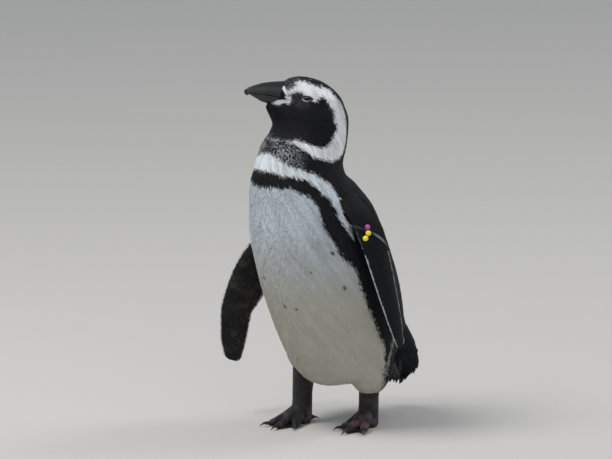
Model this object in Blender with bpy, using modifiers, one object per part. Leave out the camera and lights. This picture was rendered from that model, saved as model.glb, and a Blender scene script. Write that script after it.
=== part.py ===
"""A standing Magellanic penguin at life size, as closed solids.

Metres, +Z up. The bird faces -Y, its left side is +X and the floor is z = 0.
The trunk leans forward, the right foot is a short stride ahead, and the head
is turned a little to the bird's right with the bill raised.
"""
import math
from collections import namedtuple

import bmesh
import bpy
from mathutils import Matrix, Vector

# Driving dimensions of the whole bird
CROWN_HEIGHT = 0.502
BILL_LENGTH = 0.055
FOOT_LENGTH = 0.066

# Moves the bird so that the middle of its box stands over the origin
PLACE = Vector((0.0137, 0.0027, 0.0))

# Clearances and mesh settings
GAP = 0.0003
MOUTH_GAP = 0.0005
BODY_VOXEL = 0.0042
BODY_SMOOTHING = 14
BODY_TRIANGLES = 4600
RING_POINTS = 48

# Heights of the flat joints between torso, neck and head
NECK_BASE = 0.386
HEAD_BASE = 0.428

# Frame of the head: the point midway between the eyes, its turn and its pitch
HEAD_CENTRE = Vector((-0.005, -0.052, CROWN_HEIGHT - 0.028))
HEAD_TURN = math.radians(25.0)
HEAD_PITCH = math.radians(8.5)

# Eyes
EYE_RADIUS = 0.0088
EYE_FORWARD = 0.0048
EYE_SIDE = 0.0207
EYE_HEIGHT = 0.0024
EYE_SLIT_LENGTH = 0.0150
EYE_SLIT_HEIGHT = 0.0072

# Legs and feet
HIP_SIDE = 0.040
THIGH_SIZE = (0.033, 0.036, 0.052)
LEFT_ANKLE_Y = 0.025
RIGHT_ANKLE_Y = -0.029
LEFT_TOE_OUT = math.radians(20.0)
RIGHT_TOE_OUT = math.radians(-15.0)
TOE_SPREAD = math.radians(24.0)
TOE_RADIUS = 0.0070
CLAW_LENGTH = 0.0130
ANKLE_TOP = 0.0340
INSTEP_HEIGHT = 0.0195

# A level of the trunk and neck: height, place front to back, and its half sizes
Level = namedtuple("Level", "z y half_width front back")

TRUNK = (
    Level(0.064, 0.034, 0.022, 0.016, 0.028),
    Level(0.075, 0.031, 0.048, 0.038, 0.056),
    Level(0.092, 0.024, 0.070, 0.071, 0.080),
    Level(0.130, 0.012, 0.081, 0.085, 0.096),
    Level(0.180, -0.004, 0.086, 0.092, 0.101),
    Level(0.235, -0.021, 0.088, 0.096, 0.097),
    Level(0.290, -0.038, 0.086, 0.095, 0.088),
    Level(0.330, -0.050, 0.078, 0.0885, 0.070),
    Level(0.362, -0.058, 0.067, 0.0805, 0.053),
    Level(0.388, -0.060, 0.057, 0.069, 0.056),
    Level(0.412, -0.053, 0.053, 0.0495, 0.063),
    Level(0.440, -0.048, 0.050, 0.044, 0.064),
    Level(0.464, -0.047, 0.043, 0.042, 0.053),
    Level(0.480, -0.046, 0.026, 0.028, 0.030),
)

# A slice across the head: its place along the head, then its half sizes
Slice = namedtuple("Slice", "along centre half_width up down")

SKULL = (
    Slice(-0.058, -0.011, 0.008, 0.008, 0.010),
    Slice(-0.053, -0.010, 0.022, 0.014, 0.022),
    Slice(-0.040, -0.005, 0.033, 0.020, 0.030),
    Slice(-0.020, -0.001, 0.036, 0.0258, 0.032),
    Slice(0.000, 0.000, 0.033, 0.0278, 0.032),
    Slice(0.016, 0.000, 0.026, 0.027, 0.030),
    Slice(0.028, 0.000, 0.018, 0.022, 0.024),
    Slice(0.036, 0.000, 0.012, 0.0165, 0.018),
    Slice(0.041, 0.000, 0.005, 0.008, 0.009),
)
CHIN = (
    Slice(-0.004, -0.026, 0.010, 0.010, 0.014),
    Slice(0.012, -0.024, 0.021, 0.013, 0.024),
    Slice(0.028, -0.022, 0.020, 0.012, 0.026),
    Slice(0.040, -0.020, 0.016, 0.010, 0.021),
    Slice(0.048, -0.0175, 0.011, 0.007, 0.012),
    Slice(0.055, -0.016, 0.005, 0.003, 0.004),
)

# A section along a flipper: the axis point, the chord's turn out of the
# front-to-back line, the chord ahead of and behind the axis, the thickness
Section = namedtuple("Section", "point turn ahead behind thickness")

FLIPPER_LEFT = (
    Section(Vector((0.062, -0.038, 0.344)), -0.02, 0.018, 0.020, 0.018),
    Section(Vector((0.0885, -0.028, 0.316)), -0.04, 0.021, 0.022, 0.0145),
    Section(Vector((0.0975, -0.016, 0.286)), -0.08, 0.023, 0.0225, 0.0115),
    Section(Vector((0.1005, -0.003, 0.245)), -0.12, 0.0215, 0.0195, 0.0115),
    Section(Vector((0.1020, 0.009, 0.202)), -0.17, 0.0180, 0.0180, 0.0105),
    Section(Vector((0.1030, 0.020, 0.162)), -0.22, 0.0130, 0.0155, 0.0080),
    Section(Vector((0.1030, 0.028, 0.135)), -0.26, 0.0080, 0.0115, 0.0055),
    Section(Vector((0.1030, 0.033, 0.121)), -0.26, 0.003, 0.004, 0.0020),
)
FLIPPER_RIGHT = (
    Section(Vector((-0.068, -0.036, 0.296)), -0.30, 0.016, 0.022, 0.018),
    Section(Vector((-0.089, -0.045, 0.264)), -0.45, 0.0150, 0.024, 0.017),
    Section(Vector((-0.108, -0.058, 0.230)), -0.60, 0.0175, 0.028, 0.0125),
    Section(Vector((-0.119, -0.070, 0.190)), -0.70, 0.0200, 0.031, 0.0115),
    Section(Vector((-0.124, -0.077, 0.150)), -0.70, 0.0220, 0.0200, 0.0095),
    Section(Vector((-0.124, -0.078, 0.117)), -0.70, 0.0212, 0.0142, 0.0070),
    Section(Vector((-0.1245, -0.0789, 0.094)), -0.70, 0.0160, 0.0092, 0.0045),
    Section(Vector((-0.126, -0.0810, 0.0815)), -0.70, 0.0050, 0.0030, 0.0020),
)
FLIPPER_POINTS = 20

# The band round the left flipper: its height, then its width and its slant as
# shares of the flipper's length
BAND_PLACE = 0.290
BAND_WIDTH = 0.020
BAND_THICKNESS = 0.0009
BAND_CLEARANCE = 0.0006
BEAD_CLEARANCE = 0.0008
BAND_SLANT = 0.100
PINK_BEAD_RADIUS = 0.0040
YELLOW_BEAD_RADIUS = 0.0042

# Tail: the middle line and half sizes of its fleshy root and coverts
TAIL = (
    Level(0.190, 0.050, 0.054, 0.020, 0.0400),
    Level(0.158, 0.065, 0.050, 0.022, 0.0400),
    Level(0.128, 0.083, 0.045, 0.022, 0.0320),
    Level(0.102, 0.1065, 0.040, 0.021, 0.0180),
    Level(0.079, 0.1190, 0.034, 0.017, 0.0070),
    Level(0.060, 0.1205, 0.025, 0.008, 0.0025),
)

# Stiff tail feathers in two overlapping tiers, fanned across the tail, their
# tips swung to the bird's right and shorter towards its left
Tier = namedtuple("Tier", "count root_z tip_z root_spread tip_spread back_offset")
TAIL_TIERS = (
    Tier(13, 0.098, 0.0385, 0.031, 0.038, 0.0060),
    Tier(12, 0.098, 0.0430, 0.029, 0.035, -0.0060),
)
TAIL_SWING = -0.012
LEFT_TIP_RISE = 0.033
RIGHT_TIP_RISE = 0.003
VANE_HALF_WIDTH = 0.0046
VANE_HALF_THICKNESS = 0.0010

# Colours as linear values, and how rough each surface is
FINISHES = {
    "body_feather": ((0.78, 0.77, 0.74), 0.75),
    "dark_feather": ((0.020, 0.021, 0.026), 0.60),
    "bill_horn": ((0.012, 0.012, 0.014), 0.35),
    "eye_gloss": ((0.030, 0.014, 0.008), 0.08),
    "foot_skin": ((0.040, 0.028, 0.032), 0.55),
    "claw_horn": ((0.015, 0.013, 0.013), 0.35),
    "band_strap": ((0.55, 0.56, 0.58), 0.45),
    "bead_pink": ((0.80, 0.06, 0.30), 0.25),
    "bead_yellow": ((0.85, 0.62, 0.08), 0.25),
}


def clear_scene():
    for obj in list(bpy.data.objects):
        bpy.data.objects.remove(obj, do_unlink=True)


def new_collection(name):
    collection = bpy.data.collections.new(name)
    bpy.context.scene.collection.children.link(collection)
    return collection


def finish_material(name):
    material = bpy.data.materials.get(name)
    if material:
        return material
    colour, roughness = FINISHES[name]
    material = bpy.data.materials.new(name)
    material.use_nodes = True
    shader = material.node_tree.nodes["Principled BSDF"]
    shader.inputs["Base Color"].default_value = (*colour, 1.0)
    shader.inputs["Roughness"].default_value = roughness
    shader.inputs["Metallic"].default_value = 0.0
    return material


def between(keys, values, at):
    """The value at a place along keys, on a cubic that never overshoots."""
    if at <= keys[0]:
        return values[0]
    if at >= keys[-1]:
        return values[-1]
    count = len(keys)
    steps = [keys[i + 1] - keys[i] for i in range(count - 1)]
    rises = [(values[i + 1] - values[i]) / steps[i] for i in range(count - 1)]
    slopes = [rises[0]]
    for i in range(1, count - 1):
        if rises[i - 1] * rises[i] <= 0.0:
            slopes.append(0.0)
        else:
            slopes.append(2.0 * rises[i - 1] * rises[i] / (rises[i - 1] + rises[i]))
    slopes.append(rises[-1])
    i = 0
    while keys[i + 1] < at:
        i += 1
    t = (at - keys[i]) / steps[i]
    start = values[i] * (1 + 2 * t) * (1 - t) ** 2 + slopes[i] * steps[i] * t * (1 - t) ** 2
    end = values[i + 1] * t * t * (3 - 2 * t) - slopes[i + 1] * steps[i] * t * t * (1 - t)
    return start + end


def keep_largest(mesh):
    """Drops all but the largest closed surface of a mesh."""
    shape = bmesh.new()
    shape.from_mesh(mesh)
    shape.verts.ensure_lookup_table()
    seen = set()
    islands = []
    for start in shape.verts:
        if start.index in seen:
            continue
        island = []
        queue = [start]
        seen.add(start.index)
        while queue:
            vert = queue.pop()
            island.append(vert)
            for edge in vert.link_edges:
                other = edge.other_vert(vert)
                if other.index not in seen:
                    seen.add(other.index)
                    queue.append(other)
        islands.append(island)
    islands.sort(key=len, reverse=True)
    for island in islands[1:]:
        bmesh.ops.delete(shape, geom=island, context="VERTS")
    shape.to_mesh(mesh)
    shape.free()


def mesh_object(name, shape, collection, material=None):
    """A new object from a bmesh, with its faces turned outwards."""
    bmesh.ops.recalc_face_normals(shape, faces=shape.faces)
    mesh = bpy.data.meshes.new(name)
    shape.to_mesh(mesh)
    shape.free()
    mesh.shade_smooth()
    obj = bpy.data.objects.new(name, mesh)
    collection.objects.link(obj)
    if material:
        mesh.materials.append(finish_material(material))
    return obj


def loft(name, rings, collection, material=None):
    """A closed skin over rings that all have the same number of points."""
    shape = bmesh.new()
    loops = [[shape.verts.new(point) for point in ring] for ring in rings]
    for lower, upper in zip(loops, loops[1:]):
        for i, vert in enumerate(lower):
            j = (i + 1) % len(lower)
            shape.faces.new((vert, lower[j], upper[j], upper[i]))
    for loop in (loops[0], loops[-1]):
        middle = shape.verts.new(sum((v.co for v in loop), Vector()) / len(loop))
        for i, vert in enumerate(loop):
            shape.faces.new((vert, loop[(i + 1) % len(loop)], middle))
    return mesh_object(name, shape, collection, material)


def box(name, low, high, collection):
    """A box cutter between two corners."""
    bpy.ops.mesh.primitive_cube_add(size=1.0)
    obj = bpy.context.object
    obj.name = name
    for owner in list(obj.users_collection):
        owner.objects.unlink(obj)
    collection.objects.link(obj)
    low = Vector(low)
    high = Vector(high)
    size = Matrix.Diagonal((*(high - low), 1.0))
    obj.data.transform(Matrix.Translation((low + high) / 2.0) @ size)
    return obj


def as_guide(obj):
    obj.hide_render = True
    obj.display_type = "WIRE"
    return obj


def settle(obj):
    """Turns the object's modifiers into its own mesh."""
    view = bpy.context.evaluated_depsgraph_get()
    mesh = bpy.data.meshes.new_from_object(obj.evaluated_get(view))
    old = obj.data
    obj.modifiers.clear()
    obj.data = mesh
    mesh.name = obj.name
    bpy.data.meshes.remove(old)
    return obj


def combine(obj, other, operation, solver="EXACT"):
    """Applies one Boolean of a single object or of a collection."""
    modifier = obj.modifiers.new(operation.lower(), "BOOLEAN")
    modifier.operation = operation
    modifier.solver = solver
    if isinstance(other, bpy.types.Collection):
        modifier.operand_type = "COLLECTION"
        modifier.collection = other
    else:
        modifier.object = other
    settle(obj)
    keep_largest(obj.data)
    return obj


def join_all(name, pieces, solver="EXACT"):
    """One solid from pieces that cross each other."""
    group = new_collection(name + "_pieces")
    base = pieces[0]
    for piece in pieces[1:]:
        for owner in list(piece.users_collection):
            owner.objects.unlink(piece)
        group.objects.link(piece)
    combine(base, group, "UNION", solver)
    for piece in pieces[1:]:
        bpy.data.objects.remove(piece, do_unlink=True)
    bpy.data.collections.remove(group)
    base.name = name
    return base


def grown(obj, amount, collection, name):
    """A copy of a closed piece with its surface moved out by an amount."""
    copy = obj.copy()
    copy.data = obj.data.copy()
    copy.name = name
    collection.objects.link(copy)
    shape = bmesh.new()
    shape.from_mesh(copy.data)
    shape.normal_update()
    moves = [vert.normal * amount for vert in shape.verts]
    for vert, move in zip(shape.verts, moves):
        vert.co += move
    shape.to_mesh(copy.data)
    shape.free()
    return as_guide(copy)


def level_rings(levels, count, middle_x=lambda z: 0.0, points=RING_POINTS):
    """Rings round a leaning body whose levels are listed by height."""
    ordered = sorted(levels, key=lambda level: level.z)
    heights = [level.z for level in ordered]

    def read(field, z):
        return between(heights, [getattr(level, field) for level in ordered], z)

    rings = []
    low, high = heights[0], heights[-1]
    for step in range(count):
        z = low + (high - low) * step / (count - 1)
        nudge = 0.002
        lean = (read("y", z + nudge) - read("y", z - nudge)) / (2 * nudge)
        if z - nudge < low or z + nudge > high:
            lean *= 0.5
        rise = Vector((0.0, lean, 1.0)).normalized()
        across = Vector((1.0, 0.0, 0.0))
        ahead = across.cross(rise)
        centre = Vector((middle_x(z), read("y", z), z))
        ring = []
        for point in range(points):
            turn = math.tau * point / points
            side = math.cos(turn)
            front = math.sin(turn)
            depth = read("front", z) if front > 0 else read("back", z)
            offset = across * side * read("half_width", z) - ahead * front * -depth
            ring.append(centre + offset)
        rings.append(ring)
    return rings


def head_axes():
    """The head's forward, left and up directions."""
    forward = Vector((
        -math.sin(HEAD_TURN) * math.cos(HEAD_PITCH),
        -math.cos(HEAD_TURN) * math.cos(HEAD_PITCH),
        math.sin(HEAD_PITCH),
    ))
    left = Vector((math.cos(HEAD_TURN), -math.sin(HEAD_TURN), 0.0))
    return forward, left, forward.cross(left)


def on_head(along, side, height):
    """World point from a place in the head's own frame."""
    forward, left, up = head_axes()
    return HEAD_CENTRE + forward * along + left * side + up * height


def slice_rings(slices, count, points):
    """Rings across the head from its slices, back to front."""
    keys = [piece.along for piece in slices]

    def read(field, along):
        return between(keys, [getattr(piece, field) for piece in slices], along)

    rings = []
    for step in range(count):
        along = keys[0] + (keys[-1] - keys[0]) * step / (count - 1)
        ring = []
        for point in range(points):
            turn = math.tau * point / points
            rise = math.sin(turn)
            reach = read("up", along) if rise > 0 else read("down", along)
            side = math.cos(turn) * read("half_width", along)
            ring.append(on_head(along, side, read("centre", along) + rise * reach))
        rings.append(ring)
    return rings


def neck_shift(z):
    """The neck's small sideways shift toward the turned head."""
    return HEAD_CENTRE.x * min(max((z - NECK_BASE) / (HEAD_CENTRE.z - NECK_BASE), 0.0), 1.0)


def ball(name, centre, radius, collection, material=None, segments=24, stretch=None):
    """A sphere, or an ellipsoid where a stretch is given."""
    shape = bmesh.new()
    bmesh.ops.create_uvsphere(shape, u_segments=segments, v_segments=segments // 2, radius=radius)
    if stretch:
        shape.transform(stretch)
    shape.transform(Matrix.Translation(centre))
    return mesh_object(name, shape, collection, material)


def thigh(name, side, y, low, collection):
    """The feathered bulge of a thigh, from the flank down over the leg."""
    centre = Vector((side * HIP_SIDE, y, low + THIGH_SIZE[2]))
    stretch = Matrix.Diagonal((*THIGH_SIZE, 1.0))
    return ball(name, centre, 1.0, collection, segments=28, stretch=stretch)


def make_body(guides):
    """Trunk, neck, head and thighs blended into one smooth closed skin."""
    trunk = loft("trunk", level_rings(TRUNK, 60, neck_shift), guides)
    skull = loft("skull", slice_rings(SKULL, 28, 32), guides)
    chin = loft("chin", slice_rings(CHIN, 16, 24), guides)
    left = thigh("thigh_left", 1.0, LEFT_ANKLE_Y + 0.004, 0.044, guides)
    right = thigh("thigh_right", -1.0, RIGHT_ANKLE_Y + 0.014, 0.066, guides)
    body = join_all("body", [trunk, skull, chin, left, right])
    remesh = body.modifiers.new("blend", "REMESH")
    remesh.mode = "VOXEL"
    remesh.voxel_size = BODY_VOXEL
    smooth = body.modifiers.new("soften", "SMOOTH")
    smooth.factor = 0.5
    smooth.iterations = BODY_SMOOTHING
    settle(body)
    faces = sum(len(face.vertices) - 2 for face in body.data.polygons)
    thin = body.modifiers.new("thin", "DECIMATE")
    thin.ratio = min(1.0, BODY_TRIANGLES / faces)
    settle(body)
    return as_guide(body)


def body_part(name, body, low, high, guides, parts):
    """The length of the body between two heights, with flat ends."""
    obj = body.copy()
    obj.data = body.data.copy()
    obj.name = name
    parts.objects.link(obj)
    obj.hide_render = False
    obj.display_type = "TEXTURED"
    slab = as_guide(box(name + "_slab", (-0.3, -0.3, low), (0.3, 0.3, high), guides))
    combine(obj, slab, "INTERSECT")
    obj.data.materials.clear()
    obj.data.materials.append(finish_material("body_feather"))
    obj.data.shade_smooth()
    return obj


def make_eyes(head, guides, parts):
    """Eyeballs in sockets that open through a lid slit."""
    forward, left, up = head_axes()
    for name, side in (("eye_left", 1.0), ("eye_right", -1.0)):
        centre = on_head(EYE_FORWARD, side * EYE_SIDE, EYE_HEIGHT)
        ball(name, centre, EYE_RADIUS, parts, "eye_gloss", segments=18)
        socket = ball(name + "_socket", centre, EYE_RADIUS + GAP, guides, segments=18)
        outward = left * side
        rings = []
        for reach in (0.002, 0.030):
            ring = []
            for point in range(20):
                turn = math.tau * point / 20
                along = forward * math.cos(turn) * EYE_SLIT_LENGTH / 2
                height = up * math.sin(turn) * EYE_SLIT_HEIGHT / 2
                ring.append(centre + outward * reach + along + height)
            rings.append(ring)
        slit = loft(name + "_slit", rings, guides)
        hollow = as_guide(join_all(name + "_hollow", [socket, slit], "MANIFOLD"))
        combine(head, hollow, "DIFFERENCE", "MANIFOLD")


def mouth_height(along):
    """Height of the mouth line in the head's frame."""
    places = (0.018, 0.030, 0.045, 0.065, 0.078, 0.088)
    heights = (-0.0085, -0.0050, -0.0028, -0.0020, -0.0032, -0.0045)
    return between(places, heights, along)


# A cross section of a half bill: place along the head, half width, edge height
BILL_TIP = 0.032 + BILL_LENGTH
UPPER_BILL = (
    Slice(0.018, 0.0, 0.0100, 0.0205, 0.0),
    Slice(0.030, 0.0, 0.0092, 0.0190, 0.0),
    Slice(0.045, 0.0, 0.0080, 0.0168, 0.0),
    Slice(0.060, 0.0, 0.0066, 0.0138, 0.0),
    Slice(0.072, 0.0, 0.0050, 0.0095, 0.0),
    Slice(0.0785, 0.0, 0.0039, 0.0066, 0.0),
    Slice(0.0835, 0.0, 0.0028, 0.0040, 0.0022),
    Slice(BILL_TIP, 0.0, 0.0010, 0.0010, -0.0015),
)
LOWER_BILL = (
    Slice(0.018, 0.0, 0.0092, 0.0, -0.0190),
    Slice(0.034, 0.0, 0.0084, 0.0, -0.0165),
    Slice(0.050, 0.0, 0.0070, 0.0, -0.0150),
    Slice(0.061, 0.0, 0.0057, 0.0, -0.0128),
    Slice(0.070, 0.0, 0.0042, 0.0, -0.0088),
    Slice(0.0760, 0.0, 0.0024, 0.0, -0.0060),
    Slice(0.0782, 0.0, 0.0010, 0.0, -0.0050),
)


def bill_rings(slices, upper, count):
    """Half-round rings that close flat along the mouth line."""
    keys = [piece.along for piece in slices]

    def read(field, along):
        return between(keys, [getattr(piece, field) for piece in slices], along)

    rings = []
    arc = 14
    for step in range(count):
        along = keys[0] + (keys[-1] - keys[0]) * step / (count - 1)
        edge = mouth_height(along)
        if upper:
            edge += MOUTH_GAP / 2 - read("down", along)
            far = max(read("up", along), edge + 0.0008)
        else:
            edge -= MOUTH_GAP / 2
            far = min(read("down", along), edge - 0.0008)
        width = read("half_width", along)
        ring = []
        for point in range(arc + 1):
            turn = math.pi * point / arc
            side = math.copysign(abs(math.cos(turn)) ** 0.85, math.cos(turn)) * width
            lift = math.sin(turn) ** 0.80 * (far - edge)
            ring.append(on_head(along, side, edge + lift))
        rings.append(ring)
    return rings


def make_bill(head_shell, parts):
    upper = loft("bill_upper", bill_rings(UPPER_BILL, True, 22), parts, "bill_horn")
    lower = loft("bill_lower", bill_rings(LOWER_BILL, False, 16), parts, "bill_horn")
    for piece in (upper, lower):
        combine(piece, head_shell, "DIFFERENCE")


def flipper_frame(sections, at):
    """Axis point, chord and thickness directions at a place along a flipper."""
    keys = [index / (len(sections) - 1) for index in range(len(sections))]

    def read(value):
        return between(keys, [value(section) for section in sections], at)

    def axis(place):
        return Vector([
            between(keys, [section.point[i] for section in sections], place)
            for i in range(3)
        ])

    nudge = 0.01
    run = (axis(min(at + nudge, 1.0)) - axis(max(at - nudge, 0.0))).normalized()
    turn = read(lambda section: section.turn)
    mirror = 1.0 if sections[0].point.x > 0 else -1.0
    chord = Vector((math.sin(turn) * mirror, math.cos(turn), 0.0))
    chord = (chord - run * chord.dot(run)).normalized()
    outward = run.cross(chord).normalized() * mirror
    sizes = [read(lambda section, f=field: getattr(section, f))
             for field in ("ahead", "behind", "thickness")]
    return axis(at), chord, outward, sizes


def flipper_point(sections, at, turn, extra=0.0):
    """A point round the rounded blade, turn 0 being its leading edge."""
    axis, chord, outward, (ahead, behind, thickness) = flipper_frame(sections, at)
    along = math.cos(turn)
    reach = -(ahead + extra) if along > 0 else behind + extra
    taper = 1.0 if along > 0 else 1.0 - 0.35 * along * along
    lift = math.sin(turn) * (thickness / 2 + extra) * taper
    return axis + chord * abs(along) * reach + outward * lift


def make_flipper(name, sections, torso_shell, parts):
    steps = 25
    turns = [math.tau * point / FLIPPER_POINTS for point in range(FLIPPER_POINTS)]
    rings = [
        [flipper_point(sections, step / (steps - 1), turn) for turn in turns]
        for step in range(steps)
    ]
    flipper = loft(name, rings, parts, "dark_feather")
    combine(flipper, torso_shell, "DIFFERENCE")
    return flipper


def height_place(sections, height):
    """The place along a flipper where its axis passes a height."""
    low, high = 0.0, 1.0
    for _ in range(40):
        middle = (low + high) / 2
        if flipper_frame(sections, middle)[0].z > height:
            low = middle
        else:
            high = middle
    return low


def make_band(parts):
    """A thin slanted strap round the left flipper with three beads on its front."""
    at = height_place(FLIPPER_LEFT, BAND_PLACE)
    axis, chord, outward, sizes = flipper_frame(FLIPPER_LEFT, at)
    run = chord.cross(outward).normalized()
    points = 40
    inner = BAND_CLEARANCE
    outer = BAND_CLEARANCE + BAND_THICKNESS
    shape = bmesh.new()
    loops = []
    for extra, end in ((inner, -0.5), (inner, 0.5), (outer, 0.5), (outer, -0.5)):
        loop = []
        for point in range(points):
            turn = math.tau * point / points
            place = at - BAND_SLANT * math.cos(turn) + BAND_WIDTH * end
            loop.append(shape.verts.new(flipper_point(FLIPPER_LEFT, place, turn, extra)))
        loops.append(loop)
    for row in range(4):
        near, far = loops[row], loops[(row + 1) % 4]
        for i in range(points):
            j = (i + 1) % points
            shape.faces.new((near[i], near[j], far[j], far[i]))
    mesh_object("band_strap", shape, parts, "band_strap")
    ahead, _, thickness = sizes
    beads = (
        ("bead_pink", -0.0099, -0.0158, PINK_BEAD_RADIUS, "bead_pink"),
        ("bead_yellow_1", -0.0125, -0.0077, YELLOW_BEAD_RADIUS, "bead_yellow"),
        ("bead_yellow_2", -0.0195, -0.0032, YELLOW_BEAD_RADIUS, "bead_yellow"),
    )
    for name, back, drop, radius, material in beads:
        bulge = thickness / 2 * math.sqrt(1.0 - (back / ahead) ** 2)
        lift = bulge + BAND_CLEARANCE + BAND_THICKNESS + BEAD_CLEARANCE + radius
        ball(name, axis + chord * back + run * drop + outward * lift, radius, parts, material, 14)


def tail_vane(tier, index, guides):
    """One stiff feather of the tail, a slim blade with a blunt point."""
    share = 2.0 * index / (tier.count - 1) - 1.0
    levels = sorted(TAIL, key=lambda level: level.z)
    heights = [level.z for level in levels]
    middles = [level.y for level in levels]
    rise = LEFT_TIP_RISE if share > 0 else RIGHT_TIP_RISE
    tip_z = tier.tip_z + rise * share * share
    rings = []
    for step in range(7):
        t = step / 6
        z = tier.root_z + (tip_z - tier.root_z) * t
        x = share * (tier.root_spread + (tier.tip_spread - tier.root_spread) * t) + TAIL_SWING * t * t
        y = between(heights, middles, z) + tier.back_offset * (1.0 - 0.6 * t) - 0.004 * share ** 2
        alternate = 0.0007 * (1 if index % 2 else -1)
        width = VANE_HALF_WIDTH * math.sqrt(max(1.0 - t ** 4, 0.02))
        deep = VANE_HALF_THICKNESS * (1.0 - 0.5 * t)
        ring = []
        for point in range(6):
            turn = math.tau * point / 6
            ring.append(Vector((
                x + math.cos(turn) * width,
                y + alternate + math.sin(turn) * deep,
                z,
            )))
        rings.append(ring)
    return loft("vane", rings, guides)


def make_tail(torso_shell, guides, parts):
    pieces = [loft("tail", level_rings(TAIL, 12, points=24), parts, "dark_feather")]
    for tier in TAIL_TIERS:
        pieces += [tail_vane(tier, index, guides) for index in range(tier.count)]
    tail = join_all("tail", pieces, "MANIFOLD")
    combine(tail, torso_shell, "DIFFERENCE", "MANIFOLD")
    return tail


def tube_rings(path, radii, sides, flatten=1.0):
    """Rings round a bent path, as high as flatten times their width."""
    rings = []
    for i, point in enumerate(path):
        run = (path[min(i + 1, len(path) - 1)] - path[max(i - 1, 0)]).normalized()
        across = run.cross(Vector((0.0, 0.0, 1.0)))
        if across.length < 0.05:
            across = Vector((1.0, 0.0, 0.0))
        across.normalize()
        rise = across.cross(run)
        ring = []
        for side in range(sides):
            turn = math.tau * side / sides
            ring.append(
                point
                + across * math.cos(turn) * radii[i]
                + rise * math.sin(turn) * radii[i] * flatten
            )
        rings.append(ring)
    return rings


def upright_rings(path, radii, sides):
    """Level rings round a path that runs nearly straight up."""
    rings = []
    for point, radius in zip(path, radii):
        turns = [math.tau * side / sides for side in range(sides)]
        rings.append([
            point + Vector((math.cos(turn), math.sin(turn), 0.0)) * radius for turn in turns
        ])
    return rings


def foot_point(side, ankle_y, angle, reach, height):
    """World point on the floor plan of a foot, its toes turned out."""
    turn = (LEFT_TOE_OUT if side > 0 else RIGHT_TOE_OUT) + angle
    return Vector((
        side * (HIP_SIDE + math.sin(turn) * reach),
        ankle_y - math.cos(turn) * reach,
        height,
    ))


# Toes from the inner to the outer: name, angle and share of the foot's length
TOES = (("inner", -TOE_SPREAD, 0.80), ("middle", 0.0, 1.0), ("outer", TOE_SPREAD, 0.92))


def make_leg(name, side, ankle_y, top, body_shell, parts):
    """The short bare shank above the foot."""
    path = [
        Vector((side * HIP_SIDE, ankle_y + 0.006, top)),
        Vector((side * HIP_SIDE, ankle_y + 0.004, 0.053)),
        Vector((side * HIP_SIDE, ankle_y + 0.003, 0.043)),
        Vector((side * HIP_SIDE, ankle_y + 0.003, ANKLE_TOP + GAP)),
    ]
    radii = (0.0158, 0.0144, 0.0138, 0.0138)
    leg = loft(name, upright_rings(path, radii, 20), parts, "foot_skin")
    combine(leg, body_shell, "DIFFERENCE", "MANIFOLD")
    return leg


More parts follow.
